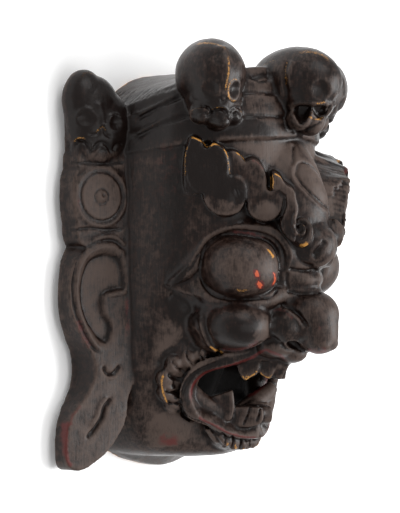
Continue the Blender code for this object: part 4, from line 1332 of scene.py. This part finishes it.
@dataclass
class Patina:
    """Where dust lies, where red paint and worn ochre still show, where the wood is blackest, and where
    light and shade are painted.

    A line gives its board, its path, half its width and its strength. A field gives its board, its outline,
    the width of its soft edge and its strength.

    Attributes:
        skulls: The crown's skulls, which are browner than the rest.
        attribute: The name of the colour attribute that the finish reads.
        hollow: Half the width and half the length of the hollow, and its height, for the painted shade that
            blackens its inner walls.
        reaches: How many points away the fine relief looks, and the broad one.
        dust_and_sheen: The dust everywhere, and what more a surface that faces out gets: dust, and a painted
            sheen.
        crown_facing_shade: How much darker a surface that faces the crown is painted, as painted shade on
            the top.
        worn: How much ochre the finest edges show.
        hollow_soot_and_shade: How much black patina and painted shade the broad hollows get, and the fine
            ones.
        behind: What share of the black patina and painted shade the back keeps.
        worn_lines: Edges worn down to bare wood and old gilding.
        red_lines: Old red paint in the lips and the folds, and the bright specks on the eyeball.
        dust_lines: Dusty edges.
        soot_lines: Black lines.
        red_fields: Fields with a breath of the red paint.
        dust_and_highlight_fields: Fields that are paler with dust, and with painted highlights on the jowl,
            the cheek, the far lip and the brow's bulbs.
        soot_and_shade_fields: Fields that are blacker than the rest, with painted shade in the gaping jaw's
            openings and the mouth's far side.
    """

    skulls: tuple[Skull, ...]
    attribute: str = "patina"
    hollow: Point = (87.0, 157.0, 76.0)
    reaches: tuple[int, int] = (5, 36)
    dust_and_sheen: Flat = (0.20, 0.26)
    crown_facing_shade: float = 0.2
    worn: float = 0.20
    hollow_soot_and_shade: Flat = (0.45, 0.25)
    behind: float = 0.4
    worn_lines: tuple[Tint, ...] = (
        (QUARTER, ((33, 107), (38, 105), (44, 102), (48, 98), (55, 100.5), (62, 97)), 0.85, 0.85),
        (QUARTER, ((62, 97), (65, 91), (66.5, 82), (67.5, 74)), 0.8, 0.6),
        (QUARTER, ((31, 100), (28.5, 86), (29, 72)), 0.7, 0.28),
        (QUARTER, ((73, 93), (78, 90), (81, 85)), 0.9, 0.6),
        (QUARTER, ((103.5, 74), (105, 67), (103, 60)), 1.2, 0.7),
        (QUARTER, ((106, 75), (112, 72), (115, 68)), 0.9, 0.7),
        (QUARTER, ((136, 14), (132, 12), (129, 12)), 1.4, 1.2),
        (QUARTER, ((9, -101), (7.5, -110), (9.5, -121), (13, -129)), 1.0, 0.8),
        (QUARTER, ((50, -77), (56, -81), (63, -84)), 1.2, 0.7),
        (LEFT, ((79, -103.5), (82.5, -107.5), (88, -104.5), (93.5, -100)), 0.9, 0.55),
        (LEFT, ((95.5, -101), (98.5, -104.5), (103, -106.5), (106.5, -103)), 0.9, 0.5),
        (LEFT, ((110, -106), (112, -107), (114.5, -107)), 0.8, 0.4),
        (MOUTH, ((66, -165), (67, -169)), 1.6, 0.4),
        (MOUTH, ((73, -168), (75, -173)), 1.6, 0.45),
        (MOUTH, ((81, -172), (82, -176)), 1.6, 0.4),
        (QUARTER, ((68, -119), (66, -122)), 1.5, 0.3),
        (LEFT, ((126, 182), (138, 184), (150, 181), (157, 174)), 2.0, 0.45),
        (LEFT, ((119, 176), (117, 166), (118, 152)), 1.2, 0.4),
        (LEFT, ((143, 137.5), (149, 138), (154, 141)), 1.0, 0.35),
        (LEFT, ((138, 126), (145, 124), (152, 127)), 1.1, 0.5),
        (LEFT, ((96, 172), (104, 176), (113, 178)), 1.2, 0.35),
        (WING, ((47, 158), (41, 164), (30, 161), (18, 152)), 1.4, 0.35),
        (QUARTER, ((-50, 110.5), (-43.5, 116), (-40.5, 111)), 1.0, 0.4),
        (QUARTER, ((-69, 102), (-65, 106), (-58, 105)), 1.0, 0.35),
        (LEFT, ((99.5, 10), (103, 6), (106.5, 1)), 0.9, 1.0),
        (LEFT, ((72, -26.5), (78, -27.5), (84, -26)), 1.4, 0.5))
    red_lines: tuple[Tint, ...] = (
        (QUARTER, ((86, 86.5), (92, 84), (98, 78)), 1.6, 0.5),
        (QUARTER, ((122, -93), (117, -89), (112, -85), (106, -83), (100, -80.5), (95, -83), (89, -87.5),
                   (75, -93), (56, -98.5), (47, -101.5), (38, -108.5), (34, -116), (33, -124),
                   (35.5, -135)), 1.5, 0.9),
        (MOUTH, ((35, -134), (38, -139), (44.6, -144), (56, -149.5), (66, -155.5), (78, -160), (89, -162),
                 (96, -162)), 1.3, 0.9),
        (QUARTER, ((60, -79), (72, -80), (85, -77), (94, -71)), 3.0, 0.55),
        (QUARTER, ((136, -80), (146, -83), (154, -79)), 4.0, 0.6),
        (QUARTER, ((146, -58), (150, -62)), 5.0, 0.35),
        (QUARTER, ((105, -47), (111, -44), (119, -48), (127, -56)), 2.0, 0.35),
        (QUARTER, ((4, -160), (12, -164), (22, -164)), 5.0, 0.6),
        (QUARTER, ((68, 24), (84, 23), (100, 18)), 1.6, 0.5),
        (WING, ((62, -140), (63.5, -155), (63, -170), (58, -182)), 2.2, 0.9),
        (WING, ((47, -127), (56, -136), (60, -146)), 1.8, 0.5),
        (WING, ((52, -52), (45, -68), (38, -78)), 4.0, 0.5),
        (WING, ((1, -30), (1, -52), (1, -70)), 2.5, 0.5),
        (WING, ((50, 62), (51, 50), (47, 40)), 3.0, 0.35),
        (LEFT, ((89, -9.5), (91.5, -13), (90.5, -16.5)), 1.9, 2.6),
        (LEFT, ((91, -20.5), (94.5, -22), (93, -25.5)), 2.2, 2.8),
        (LEFT, ((105.5, -11), (107.5, -17), (106, -23)), 1.1, 2.3),
        (FAR_LIP, ((84, -127.5), (91.5, -125), (98, -121), (105, -115.5)), 1.6, 0.8))
    dust_lines: tuple[Tint, ...] = (
        (MOUTH, ((68, -119.5), (70.5, -121), (71.5, -128), (71.5, -134)), 0.8, 0.5),)
    soot_lines: tuple[Tint, ...] = (
        (QUARTER, ((100, -78), (89, -84), (76, -88.5), (60, -93), (47, -97.5), (37, -104.5), (31, -113),
                   (28.5, -124), (32, -137)), 3.2, 0.6),)
    red_fields: tuple[Tint, ...] = (
        (QUARTER, ((4, 100), (22, 101), (25, 62), (4, 58)), 10, 0.22),
        (QUARTER, ((6, -150), (30, -158), (60, -172), (20, -172)), 9, 0.2),
        (QUARTER, ((28, -34), (60, -36), (70, -42), (50, -50), (30, -46)), 8, 0.2))
    dust_and_highlight_fields: tuple[Tint, ...] = (
        (QUARTER, ((10, -98), (20, -92), (30, -88), (44, -82), (40, -96), (27, -103), (23, -117),
                   (25, -130), (16, -130), (10, -120)), 4, 0.8),
        (QUARTER, ring((76, -5), 22, 12), 9, 0.12),
        # the jowl: dust and a painted highlight
        (QUARTER, ((24, -138), (44, -147), (62, -160), (62, -173), (14, -174), (-4, -164), (-2, -146),
                   (10, -136)), 9, 1.0),
        (QUARTER, ((34, -150), (62, -158), (64, -174), (36, -176)), 6, 0.6),
        # painted highlight on the cheek
        (QUARTER, ((88, -66), (100, -56), (106, -64), (98, -74)), 7, 0.5),
        (QUARTER, ((4, -60), (16, -52), (26, -66), (14, -84), (4, -92)), 12, 0.4),
        (QUARTER, ((70, 98), (84, 92), (100, 86), (118, 74), (128, 66), (132, 84), (122, 104), (80, 108)),
         5, 0.6),
        (QUARTER, ((30, 112), (60, 112), (60, 130), (30, 130)), 8, 0.2),
        (MIDDLE, ((-20, 84), (-6, 88), (14, 70), (22, 48), (0, 48), (-16, 62)), 5, 0.3),
        (MIDDLE, ((-4, 100), (12, 96), (34, 60), (32, 40), (22, 50), (10, 78)), 5, 0.7),
        # dust and painted light on the lit inner side of the far lip
        (FAR_LIP, ((74, -136), (88, -129), (99, -121), (110, -116), (108, -140), (80, -142)), 3, 0.8),
        (WING, ((32, -100), (40, -116), (54, -132), (60, -150), (61, -170), (46, -180), (24, -170),
                (8, -154), (4, -110)), 8, 0.12),
        (WING, Wing.concha, 6, 0.45),
        (WING, ring((28, 55), 19, 12), 6, 0.3),
        # dust and painted light on the lower edges of the brow's bulbs
        (QUARTER, ((88, 44), (99, 48), (109, 44), (107, 37), (98, 34), (89, 38)), 7, 0.55),
        (QUARTER, ((56, 46), (72, 46), (76, 41), (66, 38), (56, 40)), 7, 0.3))
    soot_and_shade_fields: tuple[Tint, ...] = (
        # painted shade in the openings of the gaping jaw
        (LEFT, Skull.gaps[0], 1, 1.0),
        (LEFT, Skull.gaps[1], 1, 1.0),
        # painted shade in the mouth's far side
        (FAR_LIP, ((70, -80), (70, -133), (84, -128), (97, -120), (104, -112), (112, -104), (112, -80)),
         2, 1.0),
        (QUARTER, ((-30, 152), (-30, 126), (2, 134), (12, 152)), 5, 0.9),
        (FAR_BROW, ((138, 108), (190, 108), (190, 14), (152, 14), (140, 40)), 4, 0.9),
        (QUARTER, ((27, 104), (66, 98), (66, 76), (80, 66), (80, 50), (44, 58), (26, 66)), 4, 1.0),
        (QUARTER, ((50, -54), (80, -50), (95, -60), (84, -74), (60, -74)), 12, 0.7),
        (QUARTER, ((10, -34), (30, -36), (46, -40), (42, -54), (28, -58), (14, -48)), 9, 0.8),
        (QUARTER, ((106, -46), (120, -46), (130, -60), (118, -72), (104, -66)), 6, 0.35),
        (QUARTER, ((112, 34), (150, 30), (158, 10), (140, -4), (124, 8)), 8, 0.3),
        (QUARTER, ((-24, 93), (-14, 124), (9, 147), (24, 154), (60, 136), (110, 110), (52, 108), (6, 104)),
         6, 0.75),
        (SIDE, ((150, 60), (150, -20), (90, -40), (80, 60), (100, 88)), 26, 0.75),
        (WING, ((0, 100), (60, 100), (66, 140), (58, 172), (34, 176), (10, 152)), 10, 0.9))

    def skull_lines(self) -> tuple[Tint, ...]:
        """Return the worn lines of the left skull: two cracks, a ring round its eye and its scrolls."""
        board = self.skulls[1].board()
        return (
            (board, ((-20, 33), (-12, 34), (-4, 32), (0, 26)), 1.6, 0.5),
            (board, ((0, 24), (-1, 10), (-2, 0), (-3, -10)), 1.2, 0.6),
            (board, arc((7.5, -7.5), (7.5, 9.5), 60, 300, 9), 1.1, 0.5),
            *((board, arc((middle, -30), (8.4, 7.4), 20, 150), 0.8, 0.22) for middle in (-20, -5, 14)))

    def tints(self) -> list[Mark]:
        """Return the coloured lines and fields."""
        skull_fields = tuple((skull.board(), ring((0, 4), 30, 12), 10.0, 0.3) for skull in self.skulls)
        lines = {Tone.OCHRE: self.worn_lines + self.skull_lines(), Tone.RED: self.red_lines,
                 Tone.DUST_AND_HIGHLIGHT: self.dust_lines, Tone.SOOT_AND_SHADE: self.soot_lines}
        fields = {Tone.RED: self.red_fields, Tone.DUST_AND_HIGHLIGHT: self.dust_and_highlight_fields,
                  Tone.SOOT_AND_SHADE: self.soot_and_shade_fields + skull_fields}
        marks: list[Mark] = []
        for tone, tints in lines.items():
            marks += [Stroke(board, path, width, 0.0, tone=tone, amount=amount)
                      for board, path, width, amount in tints]
        for tone, tints in fields.items():
            marks += [Region(board, outline, 0.0, edge, tone=tone, amount=amount)
                      for board, outline, edge, amount in tints]
        return marks

    def work(self, clay: Clay) -> None:
        """Colour the clay's points and write them to the mesh.

        Args:
            clay: The carving, whose relief the dust, the wear and the painted shade follow.
        """
        for mark in self.tints():
            mark.apply(clay)
        fine, broad = (clay.relief(reach) for reach in self.reaches)
        upwards, outwards = clay.normals[:, 1:].T
        dust_and_highlight, _, ochre, soot_and_shade = clay.tones.T
        everywhere, outward_dust_and_sheen = self.dust_and_sheen
        # surfaces that face out and broad swellings get paler with dust and a painted sheen, broad hollows a
        # little darker with painted shade
        dust_and_highlight += everywhere + outward_dust_and_sheen * ease(outwards * 1.2) + 0.08 * np.clip(broad, -2, 2)
        # painted shade on the surfaces that face the crown
        dust_and_highlight -= self.crown_facing_shade * ease(upwards * 1.6 - 0.6)
        # fine ridges get paler with dust and wear, fine grooves darker with painted shade
        dust_and_highlight += np.clip(fine / 0.25, -0.4, 0.8) * 0.30
        ochre += np.clip(fine / 0.35 - 0.75, 0, 1) * self.worn
        hollows, cuts = self.hollow_soot_and_shade
        # black patina and painted shade in the broad hollows and the fine cuts
        soot_and_shade += np.clip(-broad / 2.4, 0, 1) * hollows + np.clip(-fine / 0.35, 0, 1) * cuts
        soot_and_shade[outwards < -0.3] *= self.behind
        # painted shade: the inner walls of the hollow are painted black, without dust
        within = np.all(np.abs(clay.places) < self.hollow, axis=1)
        inner = within & (np.einsum("ij,ij->i", clay.normals[:, :2], clay.places[:, :2]) < 0)
        soot_and_shade[inner], dust_and_highlight[inner] = 1.0, 0.0
        clay.tones = np.clip(clay.tones, 0, (1, 2, 1, 1))
        layer = clay.obj.data.color_attributes.new(self.attribute, "FLOAT_COLOR", "POINT")
        layer.data.foreach_set("color", clay.tones.astype(np.float32).ravel())


# ---------------------------------------------------------------- shader building
class Wire:
    """A shader socket that Python's operators work on."""

    def __init__(self, tree: "Shading", socket: bpy.types.NodeSocket) -> None:
        """Wrap a socket."""
        self.tree = tree
        self.socket = socket

    def _math(self, operation: str, one: "Wire | float", two: "Wire | float") -> "Wire":
        """Return the result of a Math node."""
        return self.tree.node("ShaderNodeMath", {"operation": operation}, {0: one, 1: two})

    def __add__(self, other: "Wire | float") -> "Wire":
        """Add."""
        return self._math("ADD", self, other)

    def __radd__(self, other: float) -> "Wire":
        """Add to a number."""
        return self._math("ADD", other, self)

    def __sub__(self, other: "Wire | float") -> "Wire":
        """Subtract."""
        return self._math("SUBTRACT", self, other)

    def __mul__(self, other: "Wire | float") -> "Wire":
        """Multiply."""
        return self._math("MULTIPLY", self, other)

    def clamped(self) -> "Wire":
        """Return the value kept between 0 and 1."""
        return self.tree.node("ShaderNodeClamp", {}, {0: self})

    def between(self, low: float, high: float) -> "Wire":
        """Return how far the value is from low to high, with soft ends."""
        soft = {"interpolation_type": "SMOOTHSTEP"}
        return self.tree.node("ShaderNodeMapRange", soft, {0: self, 1: low, 2: high})


class Shading:
    """A material's node tree under construction."""

    def __init__(self, name: str) -> None:
        """Start a material with a Principled shader."""
        self.material = bpy.data.materials.new(name)
        self.material.use_nodes = True
        self.nodes = self.material.node_tree.nodes
        self.links = self.material.node_tree.links
        self.surface = self.nodes["Principled BSDF"]

    def node(self, kind: str, settings: dict[str, object], inputs: dict[int | str, object],
             output: int | str = 0) -> Wire:
        """Add a node.

        Args:
            kind: Its type.
            settings: Its own values, which are set first.
            inputs: Values or wires for its sockets.
            output: The socket to return.

        Returns:
            The wire out of it.
        """
        node = self.nodes.new(kind)
        for name, value in settings.items():
            setattr(node, name, value)
        for name, value in inputs.items():
            self.set(node.inputs[name], value)
        return Wire(self, node.outputs[output])

    def set(self, socket: bpy.types.NodeSocket, value: object) -> None:
        """Give a socket a value or a wire."""
        if isinstance(value, Wire):
            self.links.new(value.socket, socket)
        else:
            socket.default_value = value

    def channels(self, colour: Wire) -> tuple[Wire, Wire, Wire]:
        """Split a colour into its three channels."""
        node = self.node("ShaderNodeSeparateColor", {}, {0: colour}).socket.node
        return tuple(Wire(self, socket) for socket in node.outputs)

    def mix(self, share: Wire | float, one: object, two: object) -> Wire:
        """Return a mix of two colours."""
        return self.node("ShaderNodeMix", {"data_type": "RGBA"}, {0: share, 6: one, 7: two}, 2)

    def noise(self, place: Wire, scale: float, detail: float = 3.0, roughness: float = 0.55) -> Wire:
        """Add a noise.

        Args:
            place: Where it is read.
            scale: How fine it is.
            detail: How many finer layers it has.
            roughness: How strong those layers are.

        Returns:
            Its value, mostly from 0 to 1.
        """
        return self.node("ShaderNodeTexNoise", {}, {"Vector": place, "Scale": scale, "Detail": detail,
                                                    "Roughness": roughness})


def paint(red: float, green: float, blue: float) -> tuple[float, float, float, float]:
    """Return an opaque colour."""
    return red, green, blue, 1.0


@dataclass(frozen=True)
class AgedWood:
    """Hand-carved wood under a near-black patina, dusty on its high places and worn on its edges, with
    painted highlights and painted shade where its colour attribute carries them.

    Attributes:
        name: The material's name.
        black: The patina.
        brown: The patina where it is thin.
        dust_and_highlight: Grey dust and rubbed wax, and the paler colour of the painted highlights.
        red: What is left of a red paint.
        orange: Bright old paint, where the red is more than 1.
        ochre: Bare wood and old gilding on the edges.
        attribute: The colour attribute that says where they lie.
        scales: How fine the clouds, the mottling, the grain and the specks are.
        stretch: How much longer the grain runs along the wood.
        roughness: The roughness of the bare patina.
        shine: The strength of its reflections.
        relief: The depth of the grain that isn't cut into the mesh, in metres.
    """

    name: str = "patinated wood"
    black: tuple[float, ...] = paint(0.0056, 0.0027, 0.0020)
    brown: tuple[float, ...] = paint(0.0180, 0.0081, 0.0056)
    dust_and_highlight: tuple[float, ...] = paint(0.0660, 0.0450, 0.0365)
    red: tuple[float, ...] = paint(0.085, 0.012, 0.011)
    orange: tuple[float, ...] = paint(0.42, 0.075, 0.030)
    ochre: tuple[float, ...] = paint(0.42, 0.20, 0.045)
    attribute: str = "patina"
    scales: tuple[float, float, float, float] = (42.0, 190.0, 620.0, 900.0)
    stretch: float = 0.12
    roughness: float = 0.33
    shine: float = 0.22
    relief: float = 0.0009

    def material(self) -> bpy.types.Material:
        """Return the material."""
        tree = Shading(self.name)
        place = tree.node("ShaderNodeTexCoord", {}, {}, "Object")
        source = {"attribute_type": "GEOMETRY", "attribute_name": self.attribute}
        dust_and_highlight, red, ochre = tree.channels(tree.node("ShaderNodeAttribute", source, {}, "Color"))
        soot_and_shade = tree.node("ShaderNodeAttribute", source, {}, "Alpha")
        fresh = red - 1
        along = tree.node("ShaderNodeMapping", {}, {"Vector": place, "Scale": (1.0, self.stretch, 1.0)})
        cloud_scale, mottle_scale, grain_scale, speck_scale = self.scales
        cloud = tree.noise(place, cloud_scale, 4.0)
        mottle = tree.noise(place, mottle_scale, 4.0, 0.65)
        grain = tree.noise(along, grain_scale, 3.0, 0.6)
        speck = tree.noise(place, speck_scale, 2.0)
        # the pale colour follows the dust and the painted highlights, and the black patina and the painted
        # shade hold it back
        dust_and_highlight_amount = dust_and_highlight + (cloud - 0.5) * 0.8 + (mottle - 0.5) * 0.95 + (grain - 0.5) * 0.9 - soot_and_shade * 0.9
        dust_and_highlight_share = dust_and_highlight_amount.between(0.15, 1.05)
        thin = (mottle + (grain - 0.5) * 0.6 - soot_and_shade * 0.25).between(0.3, 0.7)
        colour = tree.mix(thin, self.black, self.brown)
        colour = tree.mix(dust_and_highlight_share, colour, self.dust_and_highlight)
        colour = tree.mix((red * 1.2 + (mottle - 0.62) * 1.1).between(0.1, 0.8) * 0.75, colour, self.red)
        colour = tree.mix((ochre * 1.4 + (speck - 0.62) * 1.3).between(0.25, 0.8), colour, self.ochre)
        colour = tree.mix((fresh + (mottle - 0.55) * 1.4).between(0.15, 0.5), colour, self.orange)
        tree.set(tree.surface.inputs["Base Color"], colour)
        rough = (self.roughness + dust_and_highlight_share * 0.22 + (grain - 0.5) * 0.16 + (mottle - 0.5) * 0.12).clamped()
        tree.set(tree.surface.inputs["Roughness"], rough)
        tree.surface.inputs["Specular IOR Level"].default_value = self.shine
        height = grain * 0.5 + mottle * 0.9 + speck * 0.15
        bump = tree.node("ShaderNodeBump", {}, {"Strength": 0.35, "Distance": self.relief, "Height": height})
        tree.set(tree.surface.inputs["Normal"], bump)
        return tree.material


@dataclass(frozen=True)
class PaleFloor:
    """A matt white floor with a very faint glow, which keeps it plain.

    Attributes:
        name: The material's name.
        colour: Its colour.
        roughness: Its roughness.
        shine: The strength of its reflections.
        glow: The strength of its own light.
    """

    name: str = "pale floor"
    colour: tuple[float, ...] = paint(0.96, 0.96, 0.96)
    roughness: float = 0.9
    shine: float = 0.1
    glow: float = 0.12

    def material(self) -> bpy.types.Material:
        """Return the material."""
        tree = Shading(self.name)
        plain = {"Base Color": self.colour, "Roughness": self.roughness, "Specular IOR Level": self.shine,
                 "Emission Color": paint(1.0, 1.0, 1.0), "Emission Strength": self.glow}
        for socket, value in plain.items():
            tree.set(tree.surface.inputs[socket], value)
        return tree.material


# ---------------------------------------------------------------- the mask
@dataclass
class Mask:
    """The whole carving.

    Attributes:
        head: The head with its band and hollow.
        eye: The eyes.
        brow: The brow.
        nose: The nose.
        mouth: The mouth.
        skulls: The crown's skulls: middle, left and right.
        wing: The ear wings.
        finish: The material.
        knife_marks: The size and the depth of the knife's marks, in metres.
        sharp: The angle between faces from which an edge is sharp, in degrees.
        saw: The size of the block that the back is sawn off with, in metres.
    """

    head: Head = field(default_factory=Head)
    eye: Eye = field(default_factory=Eye)
    brow: Brow = field(default_factory=Brow)
    nose: Nose = field(default_factory=Nose)
    mouth: Mouth = field(default_factory=Mouth)
    skulls: tuple[Skull, ...] = (
        Skull((0, 151, 166), 0, 10, gaping=True, chin=9), Skull((-76, 154, 115), -28, face=-3),
        Skull((86, 153, 117), 34, face=3, chin=9))
    wing: Wing = field(default_factory=Wing)
    finish: AgedWood = AgedWood()
    knife_marks: Flat = (0.016, 0.0011)
    sharp: float = 60.0
    saw: float = 0.6

    def rough_out(self) -> Object:
        """Fuse the head's soft masses and carve its band."""
        soft = fuse([mirrored(self.head.soft_forms())], SOFT_GRID)
        clay = Clay(soft)
        self.head.slope_crown(clay)
        clay.write()
        smooth(soft, *SOFTEN)
        masses = mirrored([form for part in (self.eye, self.nose, self.mouth) for form in part.masses()])
        soft = fuse([soft, masses], MELT_GRID)
        smooth(soft, *MELT)
        soft = fuse([soft], GRID)
        clay = Clay(soft)
        self.head.carve_band(clay)
        clay.write()
        return soft

    def features(self) -> list[Object]:
        """Add the crisp features of the left half and the middle."""
        forms = [self.head.chin_rim()]
        for part in (self.eye, self.brow, self.mouth, self.wing):
            forms += part.forms()
        return forms

    def singles(self) -> list[Object]:
        """Add what differs from side to side: the skulls and the flames."""
        skulls = [form for skull in self.skulls for form in skull.forms()]
        return [*skulls, *self.brow.flames()]

    def carve(self, obj: Object, marks: list[Mark]) -> Clay:
        """Press marks into an object.

        Args:
            obj: The object.
            marks: The marks, in their order.

        Returns:
            The clay, with its points written back.
        """
        clay = Clay(obj)
        for mark in marks:
            mark.apply(clay)
        clay.write()
        return clay

    def open_up(self, body: Object) -> Object:
        """Cut the hollow and the mouth, set the teeth in, and return the new skin."""
        cut(body, self.head.hollow())
        cut(body, self.mouth.opening())
        return fuse([body, self.mouth.dentures()], GRID)

    def chisel(self, body: Object) -> None:
        """Give the skin the knife's marks and the fine carving, and colour its points."""
        size, depth = self.knife_marks
        knife = bpy.data.textures.new("knife marks", "CLOUDS")
        knife.noise_scale = size
        knife.noise_depth = 2
        apply(body, "DISPLACE", texture=knife, texture_coords="LOCAL", strength=depth, mid_level=0.5)
        parts = (self.head, self.eye, self.brow, self.nose, self.mouth, self.wing, *self.skulls)
        clay = self.carve(body, [mark for part in parts for mark in part.marks()])
        self.head.split_grain(clay)
        self.wing.trim_lobe(clay)
        clay.write()
        Patina(self.skulls).work(Clay(body))

    def build(self) -> Object:
        """Carve the mask and return it as one mesh."""
        body = fuse([self.rough_out(), mirrored(self.features()), *self.singles()], GRID)
        LOG.info("forms fused: %d faces", len(body.data.polygons))
        sockets = [mark for skull in self.skulls for mark in skull.sockets()]
        self.carve(body, self.wing.hollows() + sockets)
        body = self.open_up(body)
        LOG.info("hollow and mouth opened: %d faces", len(body.data.polygons))
        self.chisel(body)
        apply(body, "DECIMATE", ratio=TRIANGLES / (2 * len(body.data.polygons)))
        self.saw_flat(body)
        body = self.drop_crumbs(body)
        body.name = body.data.name = "carved_mask"
        body.data.materials.clear()
        body.data.materials.append(self.finish.material())
        LOG.info("%s: %d faces", body.name, len(body.data.polygons))
        return body

    def drop_crumbs(self, obj: Object) -> Object:
        """Remove the crumbs that aren't joined to the carving, and return the carving."""
        choose(obj)
        bpy.ops.object.mode_set(mode="EDIT")
        bpy.ops.mesh.select_all(action="SELECT")
        bpy.ops.mesh.separate(type="LOOSE")
        bpy.ops.object.mode_set(mode="OBJECT")
        parts = sorted(bpy.context.selected_objects, key=lambda part: len(part.data.polygons))
        for crumb in parts[:-1]:
            bpy.data.objects.remove(crumb, do_unlink=True)
        choose(parts[-1])
        return parts[-1]

    def saw_flat(self, obj: Object) -> None:
        """Saw the back off flat at the ground."""
        bpy.ops.mesh.primitive_cube_add(size=self.saw, location=(0, 0, -self.saw / 2))
        cut(obj, bpy.context.object)
        choose(obj)
        bpy.ops.object.shade_smooth_by_angle(angle=math.radians(self.sharp))


# ---------------------------------------------------------------- the studio
@dataclass(frozen=True)
class Lamp:
    """A soft square light that faces the mask.

    Attributes:
        direction: Where it stands as seen from the mask.
        power: Its power in watts.
        size: Its side in metres.
        distance: How far away it is.
    """

    direction: Point
    power: float
    size: float
    distance: float = 1.6


@dataclass
class Studio:
    """A pale floor, soft lights and the camera.

    Attributes:
        turn: How far round to the left of the face the camera stands, in degrees.
        target: What it looks at, in metres.
        distance: How far away it is.
        lens: Its focal length in millimetres.
        ambient: The strength of the light from all round.
        lamps: The lights.
        floor_size: The floor's side in metres.
        floor_level: Its height, just under the mask.
        floor_finish: Its material.
    """

    turn: float = 55.0
    target: Point = (0.0, 0.0024, 0.0507)
    distance: float = 1.8
    lens: float = 135.9
    ambient: float = 0.60
    lamps: tuple[Lamp, ...] = (
        Lamp((0.52, -0.06, 0.85), 30.0, 1.1),
        Lamp((-0.25, -0.2, 1.0), 5.0, 1.2),
        Lamp((-0.3, 0.95, 0.75), 8.0, 0.9),
    )
    floor_size: float = 12.0
    floor_level: float = -0.0004
    floor_finish: PaleFloor = PaleFloor()

    def camera(self) -> None:
        """Stand the camera at the left of the face, level with it, the crown upwards in the picture."""
        turn = math.radians(self.turn)
        back = Vector((-math.sin(turn), 0, math.cos(turn)))
        right = Vector((math.cos(turn), 0, math.sin(turn)))
        frame = Matrix((right, back.cross(right), back)).transposed().to_4x4()
        frame.translation = Vector(self.target) + back * self.distance
        data = bpy.data.cameras.new("camera")
        data.lens = self.lens
        data.sensor_width = 36.0
        data.clip_end = 20.0
        camera = bpy.data.objects.new("camera", data)
        camera.matrix_world = frame
        bpy.context.scene.collection.objects.link(camera)
        bpy.context.scene.camera = camera

    def floor(self) -> None:
        """Lay a pale floor just under the mask."""
        bpy.ops.object.select_all(action="DESELECT")
        bpy.ops.mesh.primitive_plane_add(size=self.floor_size, location=(0, 0, self.floor_level))
        floor = bpy.context.object
        floor.name = "floor"
        floor.data.materials.append(self.floor_finish.material())

    def light(self) -> None:
        """Hang the lights and set the light from all round."""
        for lamp in self.lamps:
            data = bpy.data.lights.new("lamp", "AREA")
            data.energy = lamp.power
            data.size = lamp.size
            obj = bpy.data.objects.new("lamp", data)
            away = Vector(lamp.direction).normalized()
            obj.location = Vector(self.target) + away * lamp.distance
            obj.rotation_euler = away.to_track_quat("Z", "Y").to_euler()
            bpy.context.scene.collection.objects.link(obj)
        world = bpy.data.worlds.new("studio")
        world.use_nodes = True
        background = world.node_tree.nodes["Background"]
        background.inputs[0].default_value = paint(1.0, 1.0, 1.0)
        background.inputs[1].default_value = self.ambient
        bpy.context.scene.world = world
        bpy.context.scene.view_settings.view_transform = "Standard"

    def build(self) -> None:
        """Set the whole studio up."""
        self.camera()
        self.floor()
        self.light()


def main() -> None:
    """Load the frame, carve and dress the mask, and set up the studio."""
    logging.basicConfig(level=logging.INFO, format="%(name)s: %(message)s")
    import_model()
    bpy.ops.object.select_all(action="DESELECT")
    carving = Mask().build()
    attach(carving, "root")
    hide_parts("mask")
    Studio().build()


if __name__ == "__main__":
    main()
